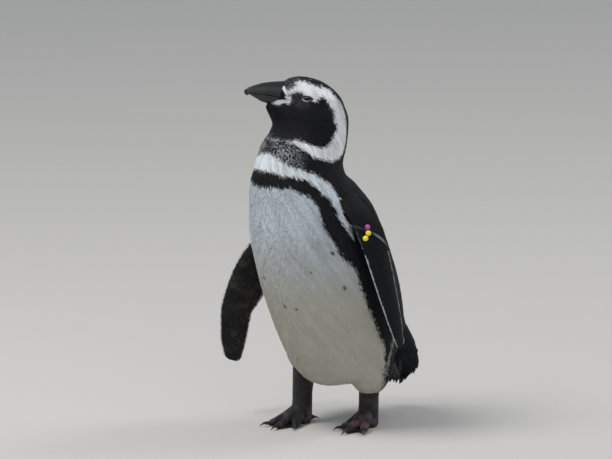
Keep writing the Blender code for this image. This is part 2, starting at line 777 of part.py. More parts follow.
def make_foot(label, side, ankle_y, guides, parts):
    """Three webbed toes, a heel pad and a small hind toe, with claws."""
    pieces = []
    ankle = Vector((side * HIP_SIDE, ankle_y, 0.0))
    heel = [
        ankle + Vector((0.0, 0.003, ANKLE_TOP)),
        ankle + Vector((0.0, 0.002, 0.0200)),
        ankle + Vector((0.0, 0.001, 0.0060)),
        ankle + Vector((0.0, 0.000, -0.003)),
    ]
    heel_radii = (0.0138, 0.0142, 0.0150, 0.0150)
    pieces.append(loft("ankle", upright_rings(heel, heel_radii, 20), guides))
    for name, angle, share in TOES:
        length = FOOT_LENGTH * share - CLAW_LENGTH * 0.55
        path = []
        radii = []
        for step in range(9):
            t = step / 8
            height = INSTEP_HEIGHT * (1 - t) ** 1.5 + 0.0040
            path.append(foot_point(side, ankle_y, angle, length * t, height))
            radii.append(TOE_RADIUS * (1.35 - 0.65 * t) * (0.55 if step == 8 else 1.0))
        pieces.append(loft(name, tube_rings(path, radii, 12, 0.85), guides))
        claw_path = []
        claw_radii = []
        for step in range(6):
            t = step / 5
            reach = length + 0.0004 + CLAW_LENGTH * t
            height = 0.0048 + 0.0012 * math.sin(math.pi * t) - 0.0028 * t * t
            claw_path.append(foot_point(side, ankle_y, angle, reach, height))
            claw_radii.append(0.0024 * (1 - 0.85 * t))
        loft(f"claw_{label}_{name}", tube_rings(claw_path, claw_radii, 10, 1.1), parts, "claw_horn")
    web = []
    for height in (-0.001, 0.0034):
        ring = [foot_point(side, ankle_y, -TOE_SPREAD * 1.05, 0.004, height)]
        for (_, start, start_share), (_, end, end_share) in zip(TOES, TOES[1:]):
            for step in range(7):
                t = step / 6
                angle = start + (end - start) * t
                reach = FOOT_LENGTH * (start_share + (end_share - start_share) * t)
                reach = (reach - CLAW_LENGTH * 0.9) * (1.0 - 0.15 * math.sin(math.pi * t))
                ring.append(foot_point(side, ankle_y, angle, reach, height))
        ring.append(foot_point(side, ankle_y, TOE_SPREAD * 1.05, 0.004, height))
        web.append(ring)
    pieces.append(loft("web", web, guides))
    hind_angle = math.radians(-140.0)
    hind = []
    for step in range(4):
        t = step / 3
        hind.append(foot_point(side, ankle_y, hind_angle, 0.006 + 0.014 * t, 0.0075 - 0.001 * t))
    pieces.append(loft("hind", tube_rings(hind, (0.0042, 0.0040, 0.0036, 0.0020), 10), guides))
    claw_path = []
    claw_radii = []
    for step in range(5):
        t = step / 4
        height = 0.0066 - 0.0030 * t * t
        claw_path.append(foot_point(side, ankle_y, hind_angle, 0.0204 + 0.0065 * t, height))
        claw_radii.append(0.0016 * (1 - 0.85 * t))
    loft(f"claw_{label}_hind", tube_rings(claw_path, claw_radii, 8), parts, "claw_horn")
    foot = join_all("foot_" + label, pieces, "MANIFOLD")
    for owner in list(foot.users_collection):
        owner.objects.unlink(foot)
    parts.objects.link(foot)
    ground = as_guide(box("ground_" + label, (-0.3, -0.3, -0.05), (0.3, 0.3, 0.0), guides))
    combine(foot, ground, "DIFFERENCE", "MANIFOLD")
    foot.data.materials.clear()
    foot.data.materials.append(finish_material("foot_skin"))
    return foot


def trim_claws(guides):
    """Cuts each claw where it enters its toe, a gap away from the toe."""
    for label in ("left", "right"):
        foot = bpy.data.objects["foot_" + label]
        shell = grown(foot, GAP, guides, "foot_shell_" + label)
        for toe in ("inner", "middle", "outer", "hind"):
            claw = bpy.data.objects[f"claw_{label}_{toe}"]
            combine(claw, shell, "DIFFERENCE", "MANIFOLD")


def build():
    clear_scene()
    parts = new_collection("penguin")
    guides = new_collection("cutters")
    body = make_body(guides)
    body_shell = grown(body, GAP, guides, "body_shell")
    body_part("torso", body, 0.0, NECK_BASE - GAP / 2, guides, parts)
    body_part("neck", body, NECK_BASE + GAP / 2, HEAD_BASE - GAP / 2, guides, parts)
    head = body_part("head", body, HEAD_BASE + GAP / 2, 0.7, guides, parts)
    make_eyes(head, guides, parts)
    make_bill(body_shell, parts)
    make_flipper("flipper_left", FLIPPER_LEFT, body_shell, parts)
    make_flipper("flipper_right", FLIPPER_RIGHT, body_shell, parts)
    make_band(parts)
    make_tail(body_shell, guides, parts)
    make_leg("leg_left", 1.0, LEFT_ANKLE_Y, 0.075, body_shell, parts)
    make_leg("leg_right", -1.0, RIGHT_ANKLE_Y, 0.090, body_shell, parts)
    make_foot("left", 1.0, LEFT_ANKLE_Y, guides, parts)
    make_foot("right", -1.0, RIGHT_ANKLE_Y, guides, parts)
    trim_claws(guides)
    for obj in parts.objects:
        obj.location = PLACE


build()
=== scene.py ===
"""The looks of the standing penguin: skin, feathers, bill, eyes, feet and band.

Metres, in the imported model's frame: +Z up, the bird faces -Y, its left is +X.
"""
import math

import bmesh
import bpy
import numpy as np
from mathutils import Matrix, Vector
from mathutils.bvhtree import BVHTree


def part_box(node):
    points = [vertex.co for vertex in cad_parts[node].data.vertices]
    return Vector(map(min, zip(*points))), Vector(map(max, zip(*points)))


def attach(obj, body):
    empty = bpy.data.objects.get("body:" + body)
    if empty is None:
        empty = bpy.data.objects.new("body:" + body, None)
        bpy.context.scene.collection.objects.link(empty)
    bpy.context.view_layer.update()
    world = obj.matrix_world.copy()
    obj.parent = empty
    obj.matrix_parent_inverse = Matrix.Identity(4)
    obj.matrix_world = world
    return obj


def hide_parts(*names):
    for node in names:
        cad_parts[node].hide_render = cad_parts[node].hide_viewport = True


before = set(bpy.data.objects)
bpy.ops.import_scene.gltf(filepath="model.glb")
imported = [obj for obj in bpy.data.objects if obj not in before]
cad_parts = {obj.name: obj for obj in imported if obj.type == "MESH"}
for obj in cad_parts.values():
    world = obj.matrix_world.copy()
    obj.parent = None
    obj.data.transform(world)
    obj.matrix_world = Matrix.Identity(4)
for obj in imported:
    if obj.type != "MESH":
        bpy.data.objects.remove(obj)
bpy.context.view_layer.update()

RNG = np.random.default_rng(11)

# Where the bird's own middle stands in the frame
PLACE = np.array([0.0137, 0.0027, 0.0])

# View: the picture's size, metres to a pixel, the pixel under the middle of the feet, angles
PICTURE_WIDTH = 612
PICTURE_HEIGHT = 459
METRES_PER_PIXEL = 0.0014
FEET_PIXEL = (335.0, 424.0)
VIEW_AZIMUTH = math.radians(50.0)
VIEW_ELEVATION = math.radians(12.0)
CAMERA_DISTANCE = 20.0
SENSOR_WIDTH = 36.0
FAR_AWAY = 60.0

# Head frame, as in the construction
HEAD_CENTRE = np.array([-0.005, -0.052, 0.474])
HEAD_TURN = math.radians(25.0)
HEAD_PITCH = math.radians(8.5)
NECK_AXIS_Y = -0.050
NECK_BASE = 0.386
TWIST_START = 0.405
TWIST_LENGTH = 0.045

# Eyes: the ball, its place on the head, and the opening between the lids
EYE_RADIUS = 0.0088
EYE_FORWARD = 0.0048
EYE_SIDE = 0.0207
EYE_HEIGHT = 0.0024
OPENING_BACK = 0.0012
OPENING_LENGTH = 0.0080
OPENING_ABOVE = 0.0042
OPENING_BELOW = 0.0054

# How deep the skin lies inside the construction's surface, on body and head, how far the
# nodes first grow to join, and how fine the joined skins are
BODY_COAT = 0.0014
HEAD_COAT = 0.0008
SKIN_VOXEL = 0.0022
FOOT_VOXEL = 0.0009
SKIN_GROWTH = 0.0003

# Middle line of the trunk: heights and places front to back
TRUNK_HEIGHTS = (
    0.056, 0.092, 0.130, 0.180, 0.235, 0.290, 0.330, 0.362, 0.388, 0.412, 0.440, 0.480,
)
TRUNK_MIDDLES = (
    0.034, 0.024, 0.012, -0.004, -0.021, -0.038, -0.050, -0.058, -0.060, -0.053, -0.048, -0.046,
)
TRUNK_RADIUS = 0.085
TRUNK_TOP = 0.43
BODY_HEIGHT = 0.51

# Colours, linear
# The breast's and belly's whites are darker than the stripe's and face's as painted shade, the lower
# belly darkest
WHITE_BREAST_SHADED = np.array([0.50, 0.55, 0.60])
WHITE_BELLY_SHADED = np.array([0.46, 0.445, 0.375])
WHITE_STRIPE = np.array([0.70, 0.75, 0.80])
WHITE_FACE = np.array([0.82, 0.84, 0.87])
BLACK_BACK = np.array([0.0048, 0.0050, 0.0066])
BLACK_HEAD = np.array([0.0038, 0.0038, 0.0048])
GREY_BAND = np.array([0.42, 0.43, 0.47])
GREY_FLANK = np.array([0.36, 0.37, 0.38])
GREY_LORES = np.array([0.10, 0.095, 0.10])
BARE_SKIN = np.array([0.47, 0.51, 0.55])
BARE_BLUSH = np.array([0.58, 0.52, 0.54])
SPOT_BROWN = np.array([0.055, 0.050, 0.048])
SOCKET_BROWN = np.array([0.02, 0.015, 0.015])
# The flippers' inner faces: the pale mottled underside painted near black as painted shade
FLIPPER_INNER_SHADED = np.array([0.0105, 0.0098, 0.0098])
FLIPPER_MOTTLE_SHADED = np.array([0.032, 0.026, 0.024])
GLEAM_BLUE = np.array([0.85, 0.95, 1.2])
LID_DARK = np.array([0.014, 0.013, 0.014])
LID_PINK = np.array([0.60, 0.43, 0.47])
LID_PALE = np.array([0.93, 0.87, 0.91])
HORN_DARK = np.array([0.0075, 0.0075, 0.0085])
HORN_WORN = np.array([0.016, 0.015, 0.014])
FOOT_DARK = np.array([0.0115, 0.0105, 0.0125])
FOOT_PINK = np.array([0.120, 0.075, 0.092])
STRAP_GREY = np.array([0.022, 0.023, 0.026])
# The painted highlight where the strap's metal catches the light
STRAP_SHEEN = np.array([0.15, 0.17, 0.19])
BEAD_PINK = (0.42, 0.055, 0.36)
BEAD_YELLOW = (0.93, 0.76, 0.011)


# Small array helpers

def unit(vectors):
    return vectors / np.maximum(np.linalg.norm(vectors, axis=-1, keepdims=True), 1e-12)


def smooth_step(value, low, high):
    t = np.clip((value - low) / (high - low), 0.0, 1.0)
    return t * t * (3 - 2 * t)


def mixed(colour, other, share):
    """A colour blended towards another by a share at each point."""
    share = np.asarray(share)[..., None]
    return colour * (1 - share) + other * share


def ring_turns(count):
    """So many even turns round a full circle."""
    return np.linspace(0.0, math.tau, count, endpoint=False)


def between(keys, values, at):
    """Values at places along keys, on a cubic that never overshoots."""
    keys = np.asarray(keys, float)
    values = np.asarray(values, float)
    steps = np.diff(keys)
    rises = np.diff(values) / steps
    slopes = np.empty_like(values)
    slopes[0] = rises[0]
    slopes[-1] = rises[-1]
    product = rises[:-1] * rises[1:]
    total = rises[:-1] + rises[1:]
    safe = np.where(np.abs(total) < 1e-15, 1.0, total)
    slopes[1:-1] = np.where(product > 0, 2.0 * product / safe, 0.0)
    at = np.clip(np.asarray(at, float), keys[0], keys[-1])
    i = np.clip(np.searchsorted(keys, at, side="right") - 1, 0, len(steps) - 1)
    t = (at - keys[i]) / steps[i]
    start = values[i] * (1 + 2 * t) * (1 - t) ** 2 + slopes[i] * steps[i] * t * (1 - t) ** 2
    end = values[i + 1] * t * t * (3 - 2 * t) - slopes[i + 1] * steps[i] * t * t * (1 - t)
    return start + end


def lattice(cells):
    """A steady pseudo-random number from 0 to 1 for each whole-number cell."""
    folded = cells[..., 0] * 127.1 + cells[..., 1] * 311.7 + cells[..., 2] * 74.7
    wave = np.sin(folded) * 43758.5453
    return wave - np.floor(wave)


def noise(points, size):
    """Smooth noise from 0 to 1 with blobs of a size in metres."""
    scaled = points / size
    base = np.floor(scaled)
    part = scaled - base
    part = part * part * (3 - 2 * part)
    total = np.zeros(points.shape[:-1])
    for corner in range(8):
        offset = np.array([corner & 1, corner >> 1 & 1, corner >> 2 & 1], float)
        weight = np.prod(np.where(offset > 0, part, 1 - part), axis=-1)
        total += weight * lattice(base + offset)
    return total


def shaken(points, size, shifts):
    """Two smooth random offsets at each point, from -0.5 to 0.5."""
    return np.stack([noise(points + shift, size) for shift in shifts], axis=-1) - 0.5


# The head's own frame

def head_axes():
    """The head's forward, left and up directions."""
    forward = np.array([
        -math.sin(HEAD_TURN) * math.cos(HEAD_PITCH),
        -math.cos(HEAD_TURN) * math.cos(HEAD_PITCH),
        math.sin(HEAD_PITCH),
    ])
    left = np.array([math.cos(HEAD_TURN), -math.sin(HEAD_TURN), 0.0])
    return forward, left, np.cross(forward, left)


HEAD_FORWARD, HEAD_LEFT, HEAD_UP = head_axes()


def on_head(along, side, height):
    """Points in the frame from places in the head's own frame."""
    along, side, height = np.broadcast_arrays(along, side, height)
    return (PLACE + HEAD_CENTRE + along[..., None] * HEAD_FORWARD
            + side[..., None] * HEAD_LEFT + height[..., None] * HEAD_UP)


def in_head(points):
    """Places in the head's own frame from points in the frame."""
    offset = points - PLACE - HEAD_CENTRE
    return np.stack([offset @ HEAD_FORWARD, offset @ HEAD_LEFT, offset @ HEAD_UP], axis=-1)


def unposed(points):
    """Body coordinates with the turn of head and neck taken out."""
    p = points - PLACE
    psi = HEAD_TURN * smooth_step(p[..., 2], TWIST_START, TWIST_START + TWIST_LENGTH)
    share = np.clip((p[..., 2] - NECK_BASE) / (HEAD_CENTRE[2] - NECK_BASE), 0.0, 1.0)
    x = p[..., 0] - HEAD_CENTRE[0] * share
    y = p[..., 1] - NECK_AXIS_Y
    straight_x = x * np.cos(psi) - y * np.sin(psi)
    straight_y = x * np.sin(psi) + y * np.cos(psi) + NECK_AXIS_Y
    return np.stack([straight_x, straight_y, p[..., 2]], axis=-1)


# Markings

def inside(polygon, places):
    """Whether places lie in a polygon, by counting its edges crossed."""
    across, height = places[..., 0], places[..., 1]
    result = np.zeros(across.shape, bool)
    for (x0, y0), (x1, y1) in zip(polygon, polygon[1:] + polygon[:1]):
        spans = (y0 > height) != (y1 > height)
        slope = (x1 - x0) / (y1 - y0) if y1 != y0 else 0.0
        result ^= spans & (across < x0 + (height - y0) * slope)
    return result


def stroke(points, path, radii):
    """Signed distance outside a tapering line: below 0 is inside it."""
    best = np.full(points.shape[:-1], 1e9)
    path = np.asarray(path, float)
    for i in range(len(path) - 1):
        run = path[i + 1] - path[i]
        t = np.clip(((points - path[i]) @ run) / (run @ run), 0.0, 1.0)
        gap = np.linalg.norm(points - path[i] - t[..., None] * run, axis=-1)
        best = np.minimum(best, gap - (radii[i] + (radii[i + 1] - radii[i]) * t))
    return best


# Edges of the markings round the trunk: degrees from the breast's midline, height
BELLY_EDGE = (
    (-8, 0.356), (8, 0.357), (18, 0.358), (35, 0.359), (42, 0.355), (48, 0.351), (53, 0.347),
    (57, 0.342), (60, 0.336), (62, 0.329), (61, 0.321), (61, 0.302), (63, 0.295), (65, 0.288),
    (67, 0.280), (68, 0.271), (70, 0.262), (72, 0.256), (78, 0.248), (82, 0.232), (83, 0.209),
    (86, 0.179), (90, 0.147), (97, 0.122), (96, 0.092), (90, 0.071), (88, 0.0), (-8, 0.0),
)
STRIPE_EDGE = (
    (-8, 0.402), (4, 0.402), (10, 0.401), (20, 0.397), (28, 0.392), (35, 0.388), (43, 0.385),
    (52, 0.383), (60, 0.380), (67, 0.376), (74, 0.371), (81, 0.365), (85, 0.359), (88, 0.349),
    (88, 0.338), (87, 0.321), (88, 0.303), (89, 0.283), (87, 0.286), (85, 0.297), (83, 0.305),
    (80, 0.314), (81, 0.329), (78, 0.331), (78, 0.342), (74, 0.346), (70, 0.351), (69, 0.356),
    (66, 0.359), (60, 0.365), (53, 0.370), (44, 0.372), (35, 0.375), (26, 0.375), (17, 0.378),
    (8, 0.379), (-8, 0.379),
)
FRECKLE_EDGE = (
    (-30, 0.402), (-30, 0.4182), (10, 0.4168), (26, 0.4180), (41, 0.4125), (56, 0.403), (70, 0.392),
    (62, 0.380), (35, 0.385), (10, 0.398),
)
FLANK_LINE = ((116, 0.140), (112, 0.122), (109, 0.109), (100, 0.091), (93, 0.073), (90, 0.050))
FLANK_RADII = (0.0004, 0.0016, 0.0018, 0.0018, 0.0018, 0.0016)
SPOTS = ((66, 0.215), (63, 0.267), (19, 0.183), (8, 0.185), (-10, 0.222), (-17, 0.326), (40, 0.240))
SPOT_RADII = (0.0032, 0.0034, 0.0024, 0.0026, 0.0022, 0.0020, 0.0018)

# The white brow, hind cheek and collar seen from the side with the neck straight: back, height
HEAD_WHITE = (
    (-0.0690, 0.4932), (-0.0662, 0.4968), (-0.0616, 0.4984), (-0.0549, 0.4977), (-0.0482, 0.4960),
    (-0.0422, 0.4926), (-0.0354, 0.4902), (-0.0279, 0.4880), (-0.0205, 0.4844), (-0.0153, 0.4788),
    (-0.0095, 0.4728), (-0.0053, 0.4653), (-0.0007, 0.4555), (0.0010, 0.4454), (-0.0004, 0.4341),
    (-0.0060, 0.4230), (-0.0122, 0.4119), (-0.0183, 0.4014), (-0.0262, 0.3945), (-0.0374, 0.3913),
    (-0.0450, 0.3906), (-0.0539, 0.3907), (-0.0613, 0.3917), (-0.0662, 0.3944), (-0.0724, 0.3972),
    (-0.0798, 0.3993), (-0.0862, 0.4032), (-0.0909, 0.4089), (-0.0938, 0.4130), (-0.0946, 0.4170),
    (-0.0938, 0.4202), (-0.0960, 0.4222), (-0.0988, 0.4232), (-0.1036, 0.4232), (-0.1100, 0.4232),
    (-0.1100, 0.4246), (-0.1060, 0.4248), (-0.1007, 0.4252), (-0.0944, 0.4256), (-0.0876, 0.4258),
    (-0.0835, 0.4245), (-0.0805, 0.4214), (-0.0779, 0.4175), (-0.0726, 0.4137), (-0.0647, 0.4118),
    (-0.0565, 0.4113), (-0.0481, 0.4160), (-0.0397, 0.4208), (-0.0300, 0.4269), (-0.0224, 0.4318),
    (-0.0190, 0.4388), (-0.0193, 0.4460), (-0.0175, 0.4512), (-0.0192, 0.4583), (-0.0229, 0.4621),
    (-0.0249, 0.4665), (-0.0268, 0.4708), (-0.0301, 0.4758), (-0.0318, 0.4796), (-0.0371, 0.4772),
    (-0.0412, 0.4752), (-0.0446, 0.4737), (-0.0500, 0.4733), (-0.0532, 0.4752), (-0.0530, 0.4797),
    (-0.0571, 0.4805), (-0.0586, 0.4821), (-0.0638, 0.4856), (-0.0700, 0.4854), (-0.0790, 0.4824),
    (-0.0812, 0.4838), (-0.0772, 0.4866), (-0.0716, 0.4906),
)

# The collar round the front of the neck: degrees from the front, height
COLLAR_EDGE = (
    (-5, 0.4186), (6, 0.4186), (17, 0.4195), (27, 0.4199), (34, 0.4192), (40, 0.4175),
    (42, 0.4142), (44, 0.4107), (48, 0.4079), (53, 0.4029), (60, 0.3993), (67, 0.3972),
    (74, 0.3944), (80, 0.3925), (88, 0.3907), (110, 0.3907), (110, 0.4180), (83, 0.4110),
    (74, 0.4108), (66, 0.4118), (59, 0.4148), (55, 0.4178), (49, 0.4206), (42, 0.4216),
    (30, 0.4208), (17, 0.4202), (4, 0.4193), (-5, 0.4193),
)
COLLAR_TOP = 0.44

# On the head, in its own frame, seen from the side: along, height
BILL_LINE = (
    (0.0342, 0.0150), (0.0362, 0.0135), (0.0358, 0.0090), (0.0327, 0.0045), (0.0299, -0.0003),
    (0.0278, -0.0050), (0.0238, -0.0030), (0.0256, 0.0006), (0.0274, 0.0045), (0.0304, 0.0086),
    (0.0330, 0.0130),
)
BARE_EDGE = (
    (0.0480, -0.0128), (0.0441, -0.0103), (0.0385, -0.0070), (0.0329, -0.0049), (0.0270, -0.0040),
    (0.0240, -0.0052), (0.0262, -0.0082), (0.0325, -0.0096), (0.0385, -0.0133), (0.0440, -0.0140),
)
FOREHEAD_EDGE = (
    (0.0440, 0.0250), (0.0200, 0.0320), (0.0110, 0.0290), (0.0125, 0.0235), (0.0180, 0.0220),
    (0.0205, 0.0185), (0.0235, 0.0110), (0.0275, 0.0070), (0.0350, 0.0160),
)

# How far an edge's ragged line strays, and the size of a fleck
EDGE_WOBBLE = 0.0026
HEAD_WOBBLE = 0.0030
BILL_WOBBLE = 0.0008
FLECK_SIZE = 0.0013


def on_trunk(path):
    """A path of degrees and heights as metres round the trunk and up it."""
    return [(math.radians(angle) * TRUNK_RADIUS, height) for angle, height in path]


def trunk_place(straight):
    """Signed metres round the trunk from the breast's midline, and height."""
    middle = between(TRUNK_HEIGHTS, TRUNK_MIDDLES, straight[..., 2])
    angle = np.arctan2(straight[..., 0], -(straight[..., 1] - middle))
    return np.stack([angle * TRUNK_RADIUS, straight[..., 2]], axis=-1)


def bare_patch(points):
    """Whether points are on the bare skin at the lower bill's base, either side."""
    place = in_head(points)
    return inside(BARE_EDGE, place[..., ::2]) & (np.abs(place[..., 1]) > 0.003)


def freckle_share(points):
    """How pale the feathers' tips are in the dark band under the collar."""
    straight = unposed(points)
    place = np.abs(trunk_place(straight))
    away = place[..., 0]
    in_band = inside(on_trunk(FRECKLE_EDGE), place) & (straight[..., 2] < TRUNK_TOP)
    strength = 1.0 - smooth_step(away, 0.044, 0.090)
    strength = strength * (0.45 + 0.55 * smooth_step(away, 0.006, 0.022))
    return in_band * strength * (0.45 + 0.55 * noise(points + 2.0, 0.010))


def markings(points, flecked=True):
    """The coat's colour at points of the body, ragged where dark meets pale."""
    straight = unposed(points)
    height = straight[..., 2]
    low = height < TRUNK_TOP
    looseness = 0.6 + 2.6 * (1.0 - smooth_step(height, 0.17, 0.26))[..., None]
    wobble = shaken(points, 0.007, (0.0, 3.0)) * 0.6
    wobble = wobble + shaken(points, 0.0016, (0.0, 6.0)) * looseness
    place = np.abs(trunk_place(straight)) + wobble * EDGE_WOBBLE
    colour = mixed(BLACK_BACK, BLACK_HEAD, smooth_step(height, 0.41, 0.44))
    if flecked:
        share = freckle_share(points) * smooth_step(noise(points, FLECK_SIZE), 0.56, 0.68)
        colour = mixed(colour, GREY_BAND, share)
    # Painted shade: the white darkens and warms from the breast down to the lower belly
    white = mixed(WHITE_BREAST_SHADED, WHITE_BELLY_SHADED, 1.0 - smooth_step(height, 0.16, 0.31))
    belly = inside(on_trunk(BELLY_EDGE), place) & low
    colour[belly] = white[belly]
    colour[inside(on_trunk(STRIPE_EDGE), place) & low] = WHITE_STRIPE
    colour[(stroke(place, on_trunk(FLANK_LINE), FLANK_RADII) < 0) & low] = GREY_FLANK
    return head_markings(points, straight, colour)


def head_markings(points, straight, colour):
    """Adds to the coat's colour what marks the head and the front of the neck."""
    # Brow, hind cheek and collar
    height = straight[..., 2]
    behind = straight[..., 1] > NECK_AXIS_Y
    shake = shaken(points, 0.0035, (5, 7)) * HEAD_WOBBLE
    white = inside(HEAD_WHITE, straight[..., 1:] + shake)
    white &= (height > 0.37) & (behind | (height > COLLAR_TOP))
    angle = np.degrees(np.arctan2(np.abs(straight[..., 0]), NECK_AXIS_Y - straight[..., 1]))
    collar = inside(COLLAR_EDGE, np.stack([angle, height], axis=-1) + shake * (900.0, 0.8))
    white |= collar & ~behind & (height < COLLAR_TOP)
    colour[white] = WHITE_FACE

    # Flecked forehead and dusky lores
    local = in_head(points)
    along = local[..., 0]
    side = np.abs(local[..., 1])
    forehead = inside(FOREHEAD_EDGE, local[..., ::2])
    colour[(noise(points, FLECK_SIZE) > 0.64) & forehead] = WHITE_FACE * 0.22
    lores = smooth_step(along, -0.002, 0.010) * (1 - smooth_step(along, 0.026, 0.032))
    lores = lores * smooth_step(local[..., 2], -0.016, -0.006) * (side > 0.008) * ~white * ~forehead
    colour = mixed(colour, GREY_LORES, lores * smooth_step(noise(points, 0.0022), 0.45, 0.75) * 0.55)

    # White line along the bill's base, and the bare skin
    jitter = (noise(points, 0.002) - 0.5)[..., None] * (BILL_WOBBLE, 0.0)
    colour[inside(BILL_LINE, local[..., ::2] + jitter) & (side > 0.001)] = WHITE_FACE * 0.85
    patch = bare_patch(points)
    colour[patch] = mixed(BARE_SKIN, BARE_BLUSH, smooth_step(along, 0.036, 0.026))[patch]
    return colour


def add_spots(points, colours):
    """The belly's few dark spots, round whatever feathers they fall on."""
    place = trunk_place(unposed(points))
    ragged = (noise(points, 0.0020) - 0.5) * 0.0012
    for spot, radius in zip(on_trunk(SPOTS), SPOT_RADII):
        distance = np.linalg.norm(place - np.array(spot), axis=-1) + ragged
        dark = 1.0 - smooth_step(distance, radius * 0.55, radius * 1.15)
        colours = mixed(colours, SPOT_BROWN, dark * 0.9)
    return colours


def soft_markings(points, lie, side):
    """Markings averaged round each feather's tip, so that dark and pale meet softly."""
    total = markings(points, flecked=False)
    for along, across in ((0.0017, 0.0009), (-0.0017, 0.0009), (0.0, -0.0019)):
        total += markings(points + lie * along + side * across, flecked=False)
    return total / 4


# Materials

def feed(tree, node, inputs):
    """Sets each input of a node to a value, or links it to another node's socket."""
    for name, value in inputs.items():
        if isinstance(value, bpy.types.NodeSocket):
            tree.links.new(value, node.inputs[name])
        else:
            node.inputs[name].default_value = value


def shader_node(tree, kind, inputs, **settings):
    """A new node with its settings and inputs."""
    node = tree.nodes.new("ShaderNode" + kind)
    for name, value in settings.items():
        setattr(node, name, value)
    feed(tree, node, inputs)
    return node


def new_material(name, roughness, colour=None, specular=0.5, coat=0.0, sheen=0.0):
    """A Principled material of one colour, or coloured by the mesh's attribute Coat."""
    material = bpy.data.materials.new(name)
    material.use_nodes = True
    tree = material.node_tree
    if colour is None:
        base = shader_node(tree, "Attribute", {}, attribute_name="Coat").outputs["Color"]
    else:
        base = (*colour, 1.0)
    feed(tree, tree.nodes["Principled BSDF"], {
        "Base Color": base, "Roughness": roughness, "Specular IOR Level": specular,
        "Coat Weight": coat, "Coat Roughness": 0.12, "Sheen Weight": sheen, "Sheen Roughness": 0.5,
    })
    return material


def object_place(tree):
    """The socket that gives a point's place in object space, in metres."""
    return tree.nodes.new("ShaderNodeTexCoord").outputs["Object"]


def noise_height(tree, size):
    """Noise in object space with features of a size in metres."""
    inputs = {"Vector": object_place(tree), "Scale": 1.0 / size, "Detail": 3.0}
    return shader_node(tree, "TexNoise", inputs).outputs["Fac"]


def mottle(material, size, strength):
    """Varies a material's own colour, lighter and darker, in blobs of a size."""
    tree = material.node_tree
    socket = tree.nodes["Principled BSDF"].inputs["Base Color"]
    own = socket.links[0].from_socket if socket.links else tuple(socket.default_value)
    ramp = shader_node(tree, "MapRange", {
        "Value": noise_height(tree, size), "From Min": 0.3, "From Max": 0.7,
        "To Min": 1.0 - strength, "To Max": 1.0 + strength,
    })
    inputs = {"Factor": 1.0, "A": own, "B": ramp.outputs["Result"]}
    scale = shader_node(tree, "Mix", inputs, data_type="RGBA", blend_type="MULTIPLY")
    tree.links.new(scale.outputs["Result"], socket)


def bump(material, height, strength, distance):
    """Adds a bump from a height socket, over any bump already there."""
    tree = material.node_tree
    normal = tree.nodes["Principled BSDF"].inputs["Normal"]
    inputs = {"Height": height, "Strength": strength, "Distance": distance}
    if normal.links:
        inputs["Normal"] = normal.links[0].from_socket
    tree.links.new(shader_node(tree, "Bump", inputs).outputs["Normal"], normal)


def grain(material, size, strength, distance):
    """Adds a bump of fine noise with features of a size in metres."""
    bump(material, noise_height(material.node_tree, size), strength, distance)


# Meshes from arrays

def linked(name, data):
    """A new object of a mesh, lamp or camera, linked into the scene."""
    obj = bpy.data.objects.new(name, data)
    bpy.context.scene.collection.objects.link(obj)
    return obj


def paint(mesh, colours):
    """Stores one linear colour for each point as the attribute Coat."""
    attribute = mesh.color_attributes.new("Coat", "FLOAT_COLOR", "POINT")
    rgba = np.ones((len(mesh.vertices), 4), np.float32)
    rgba[:, :3] = colours
    attribute.data.foreach_set("color", rgba.ravel())


def vectors(items, key):
    """Three numbers of each item of a mesh, as an array."""
    flat = np.empty(len(items) * 3, np.float32)
    items.foreach_get(key, flat)
    return flat.reshape(-1, 3).astype(float)


def set_positions(mesh, points):
    mesh.vertices.foreach_set("co", points.astype(np.float32).ravel())
    mesh.update()


def array_mesh(name, points, faces, colours, uv=None):
    """A mesh object from arrays; faces all have the same number of corners."""
    mesh = bpy.data.meshes.new(name)
    mesh.vertices.add(len(points))
    mesh.vertices.foreach_set("co", np.ascontiguousarray(points, np.float32).ravel())
    mesh.loops.add(faces.size)
    mesh.loops.foreach_set("vertex_index", faces.astype(np.int32).ravel())
    mesh.polygons.add(len(faces))
    mesh.polygons.foreach_set("loop_start", np.arange(0, faces.size, faces.shape[1], dtype=np.int32))
    mesh.update(calc_edges=True)
    mesh.shade_smooth()
    paint(mesh, colours)
    if uv is not None:
        layer = mesh.uv_layers.new(name="OFBake")
        layer.uv.foreach_set("vector", uv[faces.ravel()].astype(np.float32).ravel())
    return linked(name, mesh)


def grid_faces(rows, columns, wrap_rows=False, wrap_columns=True):
    """Quads over a grid of points, closed on itself in each wrapped direction."""
    i, j = np.meshgrid(
        np.arange(rows if wrap_rows else rows - 1),
        np.arange(columns if wrap_columns else columns - 1), indexing="ij")
    below = (i + 1) % rows
    beside = (j + 1) % columns
    quads = [i * columns + j, i * columns + beside, below * columns + beside, below * columns + j]
    return np.stack(quads, axis=-1).reshape(-1, 4)


def facing_out(obj):
    """Turns a closed piece's faces outwards."""
    shape = bmesh.new()
    shape.from_mesh(obj.data)
    bmesh.ops.recalc_face_normals(shape, faces=shape.faces)
    shape.to_mesh(obj.data)
    shape.free()
    return obj


def loft(name, rings, colours=None, mirrored=False):
    """A closed surface over an array of rings, capped with a fan at each end."""
    rows, columns, _ = rings.shape
    first_cap = rows * columns
    last_row = first_cap - columns
    faces = grid_faces(rows, columns).tolist()
    for j in range(columns):
        k = (j + 1) % columns
        faces.append((first_cap, k, j))
        faces.append((first_cap + 1, last_row + j, last_row + k))
    if mirrored:
        faces = [face[::-1] for face in faces]

    def capped(grid):
        ends = np.stack([grid[0].mean(axis=0), grid[-1].mean(axis=0)])
        return np.concatenate([grid.reshape(-1, 3), ends])

    mesh = bpy.data.meshes.new(name)
    mesh.from_pydata(capped(rings).tolist(), [], faces)
    mesh.update()
    mesh.shade_smooth()
    if colours is not None:
        paint(mesh, capped(colours))
    return facing_out(linked(name, mesh))


def thicken(obj, thickness, offset):
    solid = obj.modifiers.new("thickness", "SOLIDIFY")
    solid.thickness = thickness
    solid.offset = offset


